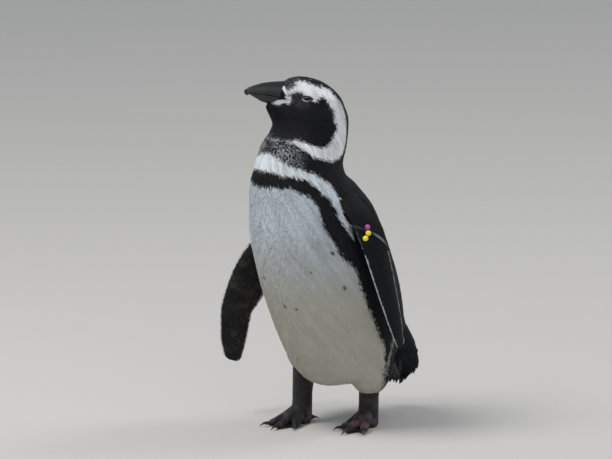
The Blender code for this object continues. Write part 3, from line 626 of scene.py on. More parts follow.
def finish(obj, material):
    obj.data.materials.clear()
    obj.data.materials.append(material)


def keep(obj, material, slot, *nodes):
    """Gives a piece its material, and lets it stand for its nodes. The slot is not used."""
    finish(obj, material)
    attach(obj, "root")
    if nodes:
        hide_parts(*nodes)


def add_node(shape, node):
    """Adds one node of the frame to a shape, grown a little so that neighbours join."""
    source = bmesh.new()
    source.from_mesh(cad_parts[node].data)
    bmesh.ops.remove_doubles(source, verts=source.verts, dist=0.00001)
    source.normal_update()
    moves = [vert.normal * SKIN_GROWTH for vert in source.verts]
    for vert, move in zip(source.verts, moves):
        vert.co += move
    copy = bpy.data.meshes.new("copy")
    source.to_mesh(copy)
    source.free()
    shape.from_mesh(copy)
    bpy.data.meshes.remove(copy)


def remeshed(name, nodes, voxel, smoothing, balls=(), root=None):
    """One smooth skin over several nodes, with any balls and any root piece in it."""
    shape = bmesh.new()
    if root:
        shape.from_mesh(root.data)
        bpy.data.objects.remove(root)
    for node in nodes:
        add_node(shape, node)
    for centre, radius in balls:
        made = bmesh.ops.create_uvsphere(shape, u_segments=24, v_segments=16, radius=radius)
        bmesh.ops.translate(shape, verts=made["verts"], vec=Vector(centre))
    mesh = bpy.data.meshes.new(name)
    shape.to_mesh(mesh)
    shape.free()
    obj = linked(name, mesh)
    remesh = obj.modifiers.new("skin", "REMESH")
    remesh.mode = "VOXEL"
    remesh.voxel_size = voxel
    soften = obj.modifiers.new("soften", "SMOOTH")
    soften.factor = 0.5
    soften.iterations = smoothing
    view = bpy.context.evaluated_depsgraph_get()
    result = bpy.data.meshes.new_from_object(obj.evaluated_get(view))
    obj.modifiers.clear()
    obj.data = result
    result.name = name
    result.shade_smooth()
    return obj


# One feather: its eight points along and across it, their rise, their painted shade (darker at the root
# where neighbours cover it, a touch lighter at the tip), and its faces
VANE_ALONG = np.array([0.0, 0.0, 0.45, 0.45, 0.45, 0.85, 0.85, 1.0])
VANE_ACROSS = np.array([-0.35, 0.35, -1.0, 0.0, 1.0, -0.70, 0.70, 0.0])
VANE_CROWN = np.array([0.0, 0.0, 0.0, 1.0, 0.0, 0.55, 0.55, 0.35])
VANE_SHADE = np.array([0.80, 0.80, 0.92, 0.98, 0.92, 1.0, 1.0, 1.04])
VANE_FACES = np.array([
    (0, 1, 3), (0, 3, 2), (1, 4, 3), (2, 3, 5), (3, 6, 5), (3, 4, 6), (5, 6, 7),
])
VANE_TIP = 5
VANE_CAMBER = 0.12
VANE_DEPTH = 0.0002
VANES_IN_PIECE = 26000

# Feathers to a square metre, the length, width and lift of the trunk's, and how much less or
# more these are on the head and the face
FEATHER_DENSITY = 460000.0
FEATHER_LENGTH = (0.0084, -0.0034, -0.0013)
FEATHER_WIDTH = (0.0018, -0.0003, -0.0005)
FEATHER_LIFT = (0.110, 0.02, 0.04)

# Mean colour below which feathers count as black and get the painted gleam
DARK_LIMIT = 0.03


def vanes(name, root, normal, lie, length, width, lift, colour, uv, material, slot,
          spotted=False, tips=None):
    """Many small feathers: slim blades lying along the coat, rooted in the skin."""
    side = unit(np.cross(normal, lie))
    for start in range(0, len(root), VANES_IN_PIECE):
        part = slice(start, start + VANES_IN_PIECE)
        long = length[part, None]
        wide = width[part, None]
        run = long * VANE_ALONG
        rise = lift[part, None] * np.sin(VANE_ALONG * math.pi * 0.5) * long
        rise = rise + wide * VANE_CAMBER * VANE_CROWN - VANE_DEPTH
        points = (root[part, None, :] + lie[part, None, :] * run[..., None]
                  + side[part, None, :] * (wide * 0.5 * VANE_ACROSS)[..., None]
                  + normal[part, None, :] * rise[..., None])
        faces = (np.arange(len(long))[:, None, None] * 8 + VANE_FACES).reshape(-1, 3)
        # Painted shade: each feather darker towards its covered root
        colours = colour[part, None, :] * VANE_SHADE[:, None]
        if tips is not None:
            colours[:, VANE_TIP:] = tips[part, None, :] * VANE_SHADE[VANE_TIP:, None]
        if spotted:
            colours = add_spots(points, colours)
        colours = np.clip(colours, 0.0, 0.95).reshape(-1, 3)
        patch = np.stack([VANE_ACROSS * 0.0015, (VANE_ALONG - 0.5) * 0.003], axis=-1)
        place = np.clip((uv[part, None, :] + patch).reshape(-1, 2), 0.0, 1.0)
        label = name if len(root) <= VANES_IN_PIECE else f"{name}_{start // VANES_IN_PIECE + 1}"
        keep(array_mesh(label, points.reshape(-1, 3), faces, colours, place), material, slot)


def scatter(mesh, density):
    """Points spread over a mesh, so many to a square metre at each face."""
    mesh.calc_loop_triangles()
    triangles = np.empty(len(mesh.loop_triangles) * 3, np.int32)
    mesh.loop_triangles.foreach_get("vertices", triangles)
    triangles = triangles.reshape(-1, 3)
    corners = vectors(mesh.vertices, "co")[triangles]
    normals = vectors(mesh.vertex_normals, "vector")[triangles]
    edges = corners[:, 1:] - corners[:, :1]
    area = np.linalg.norm(np.cross(edges[:, 0], edges[:, 1]), axis=1) / 2
    wanted = area * density(corners.mean(axis=1))
    number = np.floor(wanted + RNG.random(len(wanted))).astype(int)
    face = np.repeat(np.arange(len(triangles)), number)
    a = RNG.random(len(face))
    b = RNG.random(len(face))
    over = a + b > 1
    a[over] = 1 - a[over]
    b[over] = 1 - b[over]
    weights = np.stack([1 - a - b, a, b], axis=1)[..., None]
    return (corners[face] * weights).sum(axis=1), unit((normals[face] * weights).sum(axis=1))


def turned_from(centre, root, normal):
    """Normals turned away from a centre."""
    inward = ((root - centre) * normal).sum(axis=1) < 0
    return normal * np.where(inward, -1.0, 1.0)[:, None]


def gleam(count):
    """A faint bluish sheen painted into the colour, strong on few feathers."""
    return (RNG.random(count) ** 3 * 0.010)[:, None] * GLEAM_BLUE


# The body's skin and coat

def head_share(points):
    """0 on the trunk, 1 on the head, with the neck between them."""
    return smooth_step(points[..., 2], 0.405, 0.452)


def face_share(points):
    """1 round the bill and eyes, 0 from the back of the cheeks."""
    return smooth_step(in_head(points)[..., 0], -0.022, 0.018) * head_share(points)


def eye_gap(points):
    """Distance from the nearer eye's opening, as a stretched almond: 1 is its edge."""
    local = in_head(points)
    along = (local[..., 0] - EYE_FORWARD + OPENING_BACK) / OPENING_LENGTH
    height = local[..., 2] - EYE_HEIGHT + 0.0004
    height = height / np.where(height > 0, OPENING_ABOVE, OPENING_BELOW)
    deep = np.abs(local[..., 1]) > 0.012
    return np.where(deep, np.hypot(along, height), 9.0)


def lie_direction(points, normal):
    """The way the coat lies: from the bill back over the head, then down to the tail."""
    height = points[..., 2]
    angle = trunk_place(unposed(points))[..., 0] / TRUNK_RADIUS
    sweep = np.sign(angle) * smooth_step(np.abs(angle), 0.0, 0.5)
    sweep = sweep * (1.0 - smooth_step(np.abs(angle), 1.3, 2.2))
    sweep = sweep * (0.22 + 0.38 * smooth_step(height, 0.17, 0.30))
    across = np.stack([np.cos(angle), np.sin(angle), np.zeros_like(angle)], axis=-1)
    down = np.array([0.0, 0.26, -1.0]) + across * sweep[..., None]
    back = -HEAD_FORWARD + HEAD_UP * -0.25
    share = np.maximum(
        smooth_step(-in_head(points)[..., 0], -0.012, 0.055),
        1.0 - smooth_step(height, 0.415, 0.462),
    )
    under = 1.0 - smooth_step(height, 0.07, 0.12)
    flow = mixed(back, down, share) + np.array([0.0, 0.5, 0.0]) * under[..., None]
    return unit(flow - normal * (flow * normal).sum(axis=-1, keepdims=True))


def in_margin(share):
    """A place from 0 to 1 across the unwrap, kept off its edges."""
    return share * 0.98 + 0.01


def body_uv(points):
    """The skin's own unwrap: round the trunk and up it."""
    place = trunk_place(unposed(points))
    u = place[..., 0] / (2 * math.pi * TRUNK_RADIUS) + 0.5
    return in_margin(np.stack([u, place[..., 1] / BODY_HEIGHT], axis=-1))


def refine(skin, chosen):
    """Splits the skin's faces where chosen, so that fine colours stay sharp."""
    shape = bmesh.new()
    shape.from_mesh(skin.data)
    picked = chosen(np.array([face.calc_center_median() for face in shape.faces]))
    edges = [edge for edge in shape.edges if any(picked[face.index] for face in edge.link_faces)]
    bmesh.ops.subdivide_edges(shape, edges=edges, cuts=1, use_grid_fill=True)
    shape.to_mesh(skin.data)
    shape.free()
    skin.data.shade_smooth()


def near_face(points):
    local = in_head(points)
    return (local[:, 0] > -0.010) & (local[:, 2] > -0.019)


def near_lids_or_bill(points):
    local = in_head(points)
    return (eye_gap(points) < 1.9) | ((local[:, 0] > 0.016) & (np.abs(local[:, 2] - 0.004) < 0.022))


def make_body():
    sockets = [
        (on_head(EYE_FORWARD, side * (EYE_SIDE + shift), EYE_HEIGHT), EYE_RADIUS + 0.0012)
        for side in (1, -1) for shift in (0.0, -0.002)
    ]
    nodes = ("torso", "neck", "head")
    skin = remeshed("body_skin", nodes, SKIN_VOXEL, 20, sockets, tail_root())
    refine(skin, near_face)
    refine(skin, near_lids_or_bill)
    mesh = skin.data
    co = vectors(mesh.vertices, "co")
    depth = BODY_COAT + (HEAD_COAT - BODY_COAT) * head_share(co)
    depth = depth * (1 - 0.75 * face_share(co))
    co = co - vectors(mesh.vertex_normals, "vector") * depth[:, None]
    opening = 1.0 - smooth_step(eye_gap(co), 0.86, 1.10)
    inward = np.sign(in_head(co)[:, 1])[:, None] * HEAD_LEFT
    co = co - inward * (opening * 0.0075)[:, None]
    set_positions(mesh, co)
    colours = markings(co) * (0.9 + 0.1 * noise(co, 0.004))[:, None]
    paint(mesh, mixed(colours, SOCKET_BROWN, opening))
    material = new_material("skin_down", 0.85, specular=0.2)
    mottle(material, 0.003, 0.12)
    grain(material, 0.0015, 0.5, 0.0006)
    keep(skin, material, "feather_light", *nodes)
    return skin


def coat_density(points):
    """Feathers to a square metre, closer on neck, head and face."""
    neck = smooth_step(points[..., 2], 0.37, 0.385)
    return FEATHER_DENSITY + 1e6 * (
        0.12 * neck + 0.20 * head_share(points) + 0.50 * face_share(points))


def feathered(root, normal):
    """Whether feathers grow here: not in the eyes, on the bill or low behind the tail."""
    ahead = root + lie_direction(root, normal) * 0.0034
    grown = (eye_gap(root) > 1.08) & (eye_gap(ahead) > 1.0) & ~bare_patch(root)
    place = in_head(root)
    grown &= ~((place[:, 0] > 0.033) & (place[:, 2] > -0.012))
    return grown & ~((root[:, 1] - PLACE[1] > 0.098) & (root[:, 2] < 0.086))


def brightness(root):
    """Streaks along the breast's feather rows, partly painted highlight and strongest up high, and
    painted highlights on single feathers that catch the light.
    """
    place = trunk_place(unposed(root))
    around = (np.abs(place[:, 0]) + 0.45 * place[:, 1]) / 0.0042
    rows = np.stack([around, place[:, 1] / 0.028, np.sign(place[:, 0])], axis=-1)
    upper = smooth_step(root[:, 2], 0.20, 0.33)
    streak = (noise(rows, 1.0) - 0.5) * (0.10 + 0.34 * upper)
    sparkle = np.abs(RNG.normal(0.0, 1.0, len(root))) ** 1.3 * (0.03 + 0.07 * upper)
    return 0.94 + sparkle + (noise(root, 0.012) - 0.5) * 0.08 + streak


def make_coat(skin):
    """Body feathers, smallest on the face and longest on the lower flanks."""
    root, normal = scatter(skin.data, coat_density)
    grown = feathered(root, normal)
    root, normal = root[grown], normal[grown]
    count = len(root)
    head = head_share(root)
    face = face_share(root)
    short = smooth_step(root[:, 2], 0.370, 0.385) * (1 - face)
    vary = RNG.normal(1.0, 0.12, count)

    def sized(trunk, more_on_head, more_on_face):
        return trunk + more_on_head * head + more_on_face * face

    length = sized(*FEATHER_LENGTH) * np.clip(vary, 0.7, 1.35) * (1.0 - 0.30 * short)
    width = sized(*FEATHER_WIDTH) * np.clip(vary, 0.75, 1.3) * (1.0 - 0.22 * short)
    lie = lie_direction(root, normal)
    side = np.cross(normal, lie)
    swing = RNG.normal(0.0, 0.10, count) + (noise(root, 0.03) - 0.5) * 0.35
    lie = unit(lie + side * swing[:, None])
    lift = sized(*FEATHER_LIFT) + RNG.normal(0.0, 0.018, count)
    shown = root + lie * (length * 0.72)[:, None] + RNG.normal(0.0, 0.0012, root.shape)
    colour = soft_markings(shown, lie, side) * brightness(root)[:, None]
    dark = colour.mean(axis=1) < DARK_LIMIT
    colour = colour + gleam(count) * dark[:, None]
    pale = freckle_share(shown) * smooth_step(RNG.random(count), 0.30, 0.75)
    tips = mixed(colour, GREY_BAND * 1.6, pale)
    material = new_material("body_feathers", 0.62, specular=0.16, sheen=0.03)
    vanes("coat", root, normal, lie, length, width, lift, colour, body_uv(root), material,
          "feather_light", spotted=True, tips=tips)


# Flippers: sections from shoulder to tip, as in the construction. Each has its middle, its
# turn, how far it reaches ahead and behind, and its thickness
FLIPPER_LEFT = np.array((
    (0.062, -0.038, 0.344, -0.02, 0.018, 0.020, 0.0180),
    (0.0885, -0.028, 0.316, -0.04, 0.021, 0.022, 0.0145),
    (0.0975, -0.016, 0.286, -0.08, 0.023, 0.0225, 0.0115),
    (0.1005, -0.003, 0.245, -0.12, 0.0215, 0.0195, 0.0115),
    (0.1020, 0.009, 0.202, -0.17, 0.0180, 0.0180, 0.0105),
    (0.1030, 0.020, 0.162, -0.22, 0.0130, 0.0155, 0.0080),
    (0.1030, 0.028, 0.135, -0.26, 0.0080, 0.0115, 0.0055),
    (0.1030, 0.033, 0.121, -0.26, 0.003, 0.004, 0.0020),
))
FLIPPER_RIGHT = np.array((
    (-0.068, -0.036, 0.296, -0.30, 0.016, 0.022, 0.0180),
    (-0.089, -0.045, 0.264, -0.45, 0.0150, 0.024, 0.0170),
    (-0.108, -0.058, 0.230, -0.60, 0.0175, 0.028, 0.0125),
    (-0.119, -0.070, 0.190, -0.70, 0.0200, 0.031, 0.0115),
    (-0.124, -0.077, 0.150, -0.70, 0.0220, 0.0200, 0.0095),
    (-0.124, -0.078, 0.117, -0.70, 0.0212, 0.0142, 0.0070),
    (-0.1245, -0.0789, 0.094, -0.70, 0.0160, 0.0092, 0.0045),
    (-0.126, -0.0810, 0.0815, -0.70, 0.0050, 0.0030, 0.0020),
))

FLIPPER_RINGS = 120
FLIPPER_POINTS = 96

# How deep a flipper's skin and its feathers' roots lie inside the construction's surface
FLIPPER_SKIN = -0.0006
FLIPPER_ROOTS = -0.0005

# Scale-like feathers: rows, spacing in a row, length and how much longer they are behind,
# width and lift
SCALE_ROWS = 112
SCALE_SPACING = 0.00155
SCALE_LENGTH = 0.0046
SCALE_LONGER = 0.0022
SCALE_WIDTH = 0.0019
SCALE_LIFT = 0.075

# Pale edges, as shares of the reach to the edge and of the length; a pair is for the outer
# and the inner face
LEADING_OUTER = 0.974
LEADING_START = (0.34, 0.18)
LEADING_END = 0.93
TRAILING_REACH = (0.930, 0.955)
TRAILING_START = 0.38
TRAILING_END = 0.96


def rounded_off(sizes, at):
    """Half widths along a flipper, as a quarter ellipse over the last stretch."""
    keys = np.linspace(0.0, 1.0, len(sizes))
    last = np.clip((at - keys[-2]) / (1.0 - keys[-2]), 0.0, 1.0)
    bulge = np.sqrt(sizes[-2] ** 2 * (1.0 - last ** 2) + (sizes[-1] * last) ** 2)
    return np.where(at > keys[-2], bulge, between(keys, sizes, at))


def flipper_frame(sections, at):
    """Axis points, directions and sizes at places along a flipper."""
    keys = np.linspace(0.0, 1.0, len(sections))
    at = np.asarray(at, float)

    def read(column, where):
        return between(keys, sections[:, column], where)

    def axis(where):
        return np.stack([read(column, where) for column in range(3)], axis=-1) + PLACE

    nudge = 0.01
    run = unit(axis(np.minimum(at + nudge, 1.0)) - axis(np.maximum(at - nudge, 0.0)))
    mirror = 1.0 if sections[0, 0] > 0 else -1.0
    turn = read(3, at)
    chord = np.stack([np.sin(turn) * mirror, np.cos(turn), np.zeros_like(turn)], axis=-1)
    chord = unit(chord - run * (chord * run).sum(axis=-1, keepdims=True))
    outward = unit(np.cross(run, chord)) * mirror
    ahead = rounded_off(sections[:, 4], at)
    behind = rounded_off(sections[:, 5], at)
    return axis(at), run, chord, outward, ahead, behind, read(6, at)


def flipper_surface(sections, at, turn, extra=0.0):
    """Points round a flipper's rounded blade, turn 0 being its leading edge."""
    axis, _, chord, outward, ahead, behind, thickness = flipper_frame(sections, at)
    along = np.cos(turn)
    reach = np.where(along > 0, -(ahead + extra), behind + extra)
    taper = np.where(along > 0, 1.0, 1.0 - 0.35 * along * along)
    lift = np.sin(turn) * (thickness / 2 + extra) * taper
    return axis + chord * (np.abs(along) * reach)[..., None] + outward * lift[..., None]


def flipper_colour(points, at, turn, leading_inner):
    """Black outside; inside, mottles painted near black as shade and darker towards the tip; pale along
    both edges.
    """
    outer = np.sin(turn) > 0
    forward = np.cos(turn)
    mottles = noise(points, 0.010) * 0.6 + noise(points, 0.0035) * 0.4
    inner = mixed(FLIPPER_INNER_SHADED, FLIPPER_MOTTLE_SHADED, smooth_step(mottles, 0.48, 0.80))
    inner = inner * (1 - 0.5 * smooth_step(mottles, 0.42, 0.22))[..., None]
    inner = inner * (1.15 - 0.35 * smooth_step(at, 0.30, 0.95))[..., None]
    colour = np.where(outer[..., None], BLACK_BACK * 1.1, inner)
    leading = forward > np.where(outer, LEADING_OUTER, leading_inner)
    leading &= (at > np.where(outer, *LEADING_START)) & (at < LEADING_END)
    trailing = -forward > np.where(outer, *TRAILING_REACH)
    trailing &= (at > TRAILING_START) & (at < TRAILING_END)
    colour[leading] = WHITE_FACE * 0.60
    colour[trailing] = WHITE_FACE * 0.50
    return colour


def make_flipper_skin(name, sections, leading_inner):
    rings = np.linspace(0.0, 1.0, FLIPPER_RINGS)
    at, turn = np.meshgrid(rings, ring_turns(FLIPPER_POINTS), indexing="ij")
    surface = flipper_surface(sections, at, turn, FLIPPER_SKIN)
    colours = flipper_colour(surface, at, turn, leading_inner)
    skin = loft(name + "_skin", surface, colours, mirrored=sections[0, 0] < 0)
    material = new_material(name + "_skin", 0.7, specular=0.16)
    mottle(material, 0.003, 0.15)
    grain(material, 0.0012, 0.5, 0.0005)
    keep(skin, material, "feather_dark", name)


def feather_rows(sections):
    """Places along and round a flipper for its feathers, in offset rows."""
    starts = []
    turns = []
    for row in range(SCALE_ROWS):
        place = 0.03 + 0.955 * row / (SCALE_ROWS - 1)
        _, _, _, _, ahead, behind, _ = flipper_frame(sections, np.array([place]))
        number = max(6, int((ahead[0] + behind[0]) * 2 / SCALE_SPACING))
        angle = math.tau * ((np.arange(number) + (row % 2) * 0.5) / number)
        starts.append(np.full(number, place))
        turns.append(angle - 0.22 * np.sin(2 * angle))
    return np.concatenate(starts), np.concatenate(turns)


def make_flipper_coat(name, sections, leading_inner):
    """Scale-like feathers in offset rows from shoulder to tip."""
    at, turn = feather_rows(sections)
    count = len(at)
    at = np.clip(at + RNG.normal(0.0, 0.0015, count), 0.0, 0.992)
    turn = turn + RNG.normal(0.0, 0.015, count)
    root = flipper_surface(sections, at, turn, FLIPPER_ROOTS)
    onward = flipper_surface(sections, np.clip(at + 0.004, 0, 1), turn, FLIPPER_ROOTS)
    beside = flipper_surface(sections, at, turn + 0.02, FLIPPER_ROOTS)
    lie = unit(onward - root)
    normal = unit(np.cross(beside - root, lie))
    axis, _, backward, _, _, _, _ = flipper_frame(sections, at)
    normal = turned_from(axis, root, normal)
    trailing = smooth_step(-np.cos(turn), 0.70, 0.98)
    lie = unit(lie + backward * (0.45 * trailing)[:, None])
    vary = np.clip(RNG.normal(1.0, 0.12, count), 0.7, 1.3)
    shrink = (1.0 - 0.35 * at) * (1.0 - 0.55 * smooth_step(at, 0.88, 0.99))
    length = (SCALE_LENGTH + SCALE_LONGER * trailing) * vary * shrink
    width = SCALE_WIDTH * vary * (1.0 - 0.25 * at)
    lift = SCALE_LIFT + RNG.normal(0.0, 0.015, count)
    colour = flipper_colour(root + lie * (length * 0.5)[:, None], at, turn, leading_inner)
    colour = colour * (1.0 + RNG.normal(0.0, 0.10, count))[:, None]
    colour = colour + gleam(count) * (colour.mean(axis=1) < DARK_LIMIT)[:, None]
    material = new_material(name + "_feathers", 0.60, specular=0.16, sheen=0.03)
    uv = in_margin(np.stack([(turn / math.tau) % 1.0, at], axis=-1))
    vanes(name + "_coat", root, normal, lie, length, width, lift, colour, uv, material,
          "feather_dark")


# Bill

# Places along the head with the mouth line's heights, then for each plate its places, half
# widths and outer heights, and how far the upper plate's tip hooks down
MOUTH_PLACES = (0.018, 0.030, 0.045, 0.065, 0.078, 0.088)
MOUTH_HEIGHTS = (-0.0085, -0.0050, -0.0028, -0.0020, -0.0032, -0.0045)
MOUTH_GAP = 0.0004
UPPER_PLACES = (0.018, 0.030, 0.045, 0.060, 0.072, 0.0785, 0.0835, 0.087)
UPPER_WIDTHS = (0.0100, 0.0092, 0.0080, 0.0066, 0.0050, 0.0039, 0.0028, 0.0010)
UPPER_TOPS = (0.0205, 0.0190, 0.0168, 0.0138, 0.0095, 0.0066, 0.0040, 0.0010)
UPPER_HOOK = (0.0, 0.0, 0.0, 0.0, 0.0, 0.0, 0.0022, -0.0015)
LOWER_PLACES = (0.018, 0.034, 0.050, 0.061, 0.070, 0.0760, 0.0782)
LOWER_WIDTHS = (0.0092, 0.0084, 0.0070, 0.0057, 0.0042, 0.0024, 0.0010)
LOWER_BOTTOMS = (-0.0190, -0.0165, -0.0150, -0.0128, -0.0088, -0.0060, -0.0050)
THINNEST_HORN = 0.0008
BILL_ROWS = 72
BILL_ARC = 36

# Where the nostril slits lie on the upper plate
NOSTRIL_ALONG = 0.0405
NOSTRIL_HEIGHT = 0.0078
NOSTRIL_SIDE = 0.00660


def bill_rings(upper):
    """Half-round rings closed along the mouth line, with the bill's grooves."""
    places = UPPER_PLACES if upper else LOWER_PLACES
    along = np.linspace(places[0], places[-1], BILL_ROWS)
    mouth = between(MOUTH_PLACES, MOUTH_HEIGHTS, along)
    if upper:
        width = between(places, UPPER_WIDTHS, along)
        edge = mouth + MOUTH_GAP / 2 - between(places, UPPER_HOOK, along)
        far = np.maximum(between(places, UPPER_TOPS, along), edge + THINNEST_HORN)
    else:
        width = between(places, LOWER_WIDTHS, along)
        edge = mouth - MOUTH_GAP / 2
        far = np.minimum(between(places, LOWER_BOTTOMS, along), edge - THINNEST_HORN)
    turn = np.linspace(0.0, math.pi, BILL_ARC + 1)
    slope = np.abs(np.cos(turn))
    side = np.sign(np.cos(turn)) * slope ** 0.85
    lift = np.sin(turn) ** 0.80
    groove = np.exp(-((slope - 0.62) / 0.09) ** 2)
    run = smooth_step(along, 0.030, 0.040) * (1 - smooth_step(along, 0.060, 0.072))
    pinch = 1.0 - (0.11 if upper else 0.07) * groove * run[:, None]
    seam = smooth_step(along, 0.0645, 0.0665) * (1 - smooth_step(along, 0.0665, 0.0690))
    pinch = pinch * (1.0 - 0.035 * seam[:, None])
    height = edge[:, None] + lift * (far - edge)[:, None]
    return on_head(along[:, None], side * width[:, None] * pinch, height)


def horn_material(name):
    """Nearly black horn with fine fibres along the bill."""
    material = new_material(name, 0.36, specular=0.5, coat=0.25)
    tree = material.node_tree
    stretch = shader_node(tree, "Mapping", {
        "Vector": object_place(tree), "Rotation": (0.0, 0.0, -HEAD_TURN), "Scale": (900.0, 60.0, 900.0),
    })
    inputs = {"Vector": stretch.outputs["Vector"], "Scale": 1.0, "Detail": 2.0}
    bump(material, shader_node(tree, "TexNoise", inputs).outputs["Fac"], 0.45, 0.0004)
    return material


def make_bill():
    for name, upper in (("bill_upper", True), ("bill_lower", False)):
        rings = bill_rings(upper)
        wear_and_sheen = noise(rings, 0.004) * smooth_step(in_head(rings)[..., 0], 0.050, 0.080)
        colours = HORN_DARK + wear_and_sheen[..., None] * HORN_WORN
        colours[bare_patch(rings)] = BARE_SKIN
        horn = loft(name + "_horn", rings, colours)
        keep(horn, horn_material(name + "_horn"), "bill_horn", name)


def make_nostrils():
    turn = ring_turns(24)
    for label, side in (("left", 1), ("right", -1)):
        rings = []
        for scale, out in ((1.0, 0.0), (0.7, 0.00015), (0.2, 0.0001)):
            along = np.cos(turn) * 0.0026 * scale
            height = NOSTRIL_HEIGHT + np.sin(turn) * 0.0008 * scale - along * 0.12
            rings.append(on_head(NOSTRIL_ALONG + along, side * (NOSTRIL_SIDE + out), height))
        nostril = loft("nostril_" + label, np.array(rings))
        keep(nostril, new_material("nostril", 0.8, colour=(0.004, 0.004, 0.004)), "bill_horn")


# Eyes and lids

# Half lengths and half heights of the lids' inner and outer edges
LID_INNER = (0.0064, 0.0025)
LID_OUTER = (0.0132, 0.0064)
LID_RINGS = 9
LID_POINTS = 48
LID_THICKNESS = 0.0005

# The eyeball's colours from the pupil out, in centimetres from where the eye looks out
PUPIL = (0.002, 0.002, 0.002)
IRIS = (
    (0.24, (0.003, 0.002, 0.002)), (0.29, (0.040, 0.016, 0.009)),
    (0.50, (0.024, 0.010, 0.006)), (0.56, (0.012, 0.008, 0.007)),
)
EYE_RIM = (0.10, 0.07, 0.06)


def lid_ring(share, centre, outward, skin):
    """One ring of the lids, 0 at the opening to 1 at the far edge, and its points' heights."""
    turn = ring_turns(LID_POINTS)
    half_long, half_high = (start + (end - start) * share for start, end in zip(LID_INNER, LID_OUTER))
    along = np.cos(turn) * half_long
    pointed = np.sin(turn) * np.abs(np.sin(turn)) ** (0.45 * (1 - share))
    drop = 1.0 + 0.36 * smooth_step(share, 0.10, 0.60)
    height = pointed * half_high * np.where(pointed > 0, 0.85, drop) - along * 0.06 - 0.0006
    along = along - OPENING_BACK
    ball = np.sqrt(np.maximum((EYE_RADIUS + 0.0004) ** 2 - along ** 2 - height ** 2, 1e-8))
    roll = 0.0007 * math.exp(-((share - 0.12) / 0.10) ** 2)
    ring = []
    for a, h, on_ball in zip(along, height, ball):
        base = centre + HEAD_FORWARD * a + HEAD_UP * h
        hit = skin.ray_cast(Vector(base + outward * 0.03), Vector(-outward))[0]
        on_skin = (np.array(hit) - base) @ outward if hit else on_ball
        on_skin = on_skin + 0.0004 - 0.0014 * smooth_step(share, 0.70, 1.0)
        out = on_ball + (on_skin - on_ball) * smooth_step(share, 0.25, 0.90)
        out = max(out, on_ball) if share < 0.6 else out
        ring.append(base + outward * (out + roll))
    return np.array(ring), pointed


def lid_colours(share, ring, pointed):
    """Pink at the opening, a pale crescent under it, white brow feathers above."""
    inner = 1.0 - smooth_step(share, 0.06, 0.20)
    crescent = smooth_step(share, 0.06, 0.16) * (1.0 - smooth_step(share, 0.74, 0.92))
    crescent = crescent * smooth_step(-pointed, -0.10, 0.25)
    brow = smooth_step(pointed, 0.0, 0.3) * smooth_step(share, 0.52, 0.66)
    tone = mixed(LID_DARK, LID_PINK, np.full(LID_POINTS, inner))
    tone = mixed(mixed(tone, LID_PALE, crescent), WHITE_FACE, brow)
    return tone * (0.9 + 0.2 * noise(ring, 0.0012))[:, None]


def make_eyes(skin):
    material = new_material("lid_skin", 0.45, specular=0.45)
    grain(material, 0.0009, 0.5, 0.0003)
    faces = [tuple(face.vertices) for face in skin.data.polygons]
    tree = BVHTree.FromPolygons(vectors(skin.data.vertices, "co").tolist(), faces)
    for name, side in (("eye_left", 1), ("eye_right", -1)):
        centre = on_head(EYE_FORWARD, side * EYE_SIDE, EYE_HEIGHT)
        outward = HEAD_LEFT * side
        gaze = unit(outward - HEAD_FORWARD * 0.13 - HEAD_UP * 0.07)
        finish(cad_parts[name], eye_material(name + "_wet", centre, gaze))
        rings = []
        colours = []
        for share in np.linspace(0.0, 1.0, LID_RINGS):
            ring, pointed = lid_ring(share, centre, outward, tree)
            rings.append(ring)
            colours.append(lid_colours(share, ring, pointed))
        lids = array_mesh(name + "_lids", np.concatenate(rings), grid_faces(LID_RINGS, LID_POINTS),
                          np.concatenate(colours))
        thicken(lids, LID_THICKNESS, -1.0)
        keep(lids, material, "feather_dark")


def eye_material(name, centre, gaze):
    """Pupil, dark brown iris and a paler rim, by distance from where the eye looks out."""
    material = new_material(name, 0.07, colour=PUPIL, specular=0.25, coat=0.35)
    tree = material.node_tree
    looking = tuple(centre + gaze * EYE_RADIUS)
    gap = shader_node(tree, "VectorMath", {0: object_place(tree), 1: looking}, operation="DISTANCE")
    centimetres = shader_node(tree, "Math", {0: gap.outputs["Value"], 1: 100.0}, operation="MULTIPLY")
    ramp = shader_node(tree, "ValToRGB", {"Fac": centimetres.outputs["Value"]})
    ramp.color_ramp.interpolation = "EASE"
    stops = ramp.color_ramp.elements
    stops[0].color = (*PUPIL, 1)
    stops[1].color = (*EYE_RIM, 1)
    for place, colour in IRIS:
        stops.new(place).color = (*colour, 1)
    tree.links.new(ramp.outputs["Color"], tree.nodes["Principled BSDF"].inputs["Base Color"])
    return material


# Tail

# The fleshy root at heights: its middle, half width, and depth to the front and to the back
TAIL_HEIGHTS = (0.060, 0.079, 0.102, 0.128, 0.158, 0.190)
TAIL_MIDDLES = (0.1205, 0.1190, 0.1065, 0.083, 0.065, 0.050)
TAIL_WIDTHS = (0.025, 0.034, 0.040, 0.045, 0.050, 0.054)
TAIL_FRONTS = (0.008, 0.017, 0.021, 0.022, 0.022, 0.020)
TAIL_BACKS = (0.0025, 0.007, 0.018, 0.032, 0.040, 0.040)

# How far the blades' tips swing to the right, and how much the outer ones rise at each side
TAIL_SWING = -0.012
LEFT_TIP_RISE = 0.033
RIGHT_TIP_RISE = 0.003

# Tiers of stiff feathers: how many, the heights of their roots and tips, how far both spread
# to each side, and how far the tier lies behind the tail's middle
TAIL_TIERS = (
    (13, 0.100, 0.0385, 0.031, 0.038, 0.0010),
    (12, 0.100, 0.0430, 0.029, 0.035, -0.0010),
    (12, 0.104, 0.0510, 0.031, 0.035, 0.0026),
)

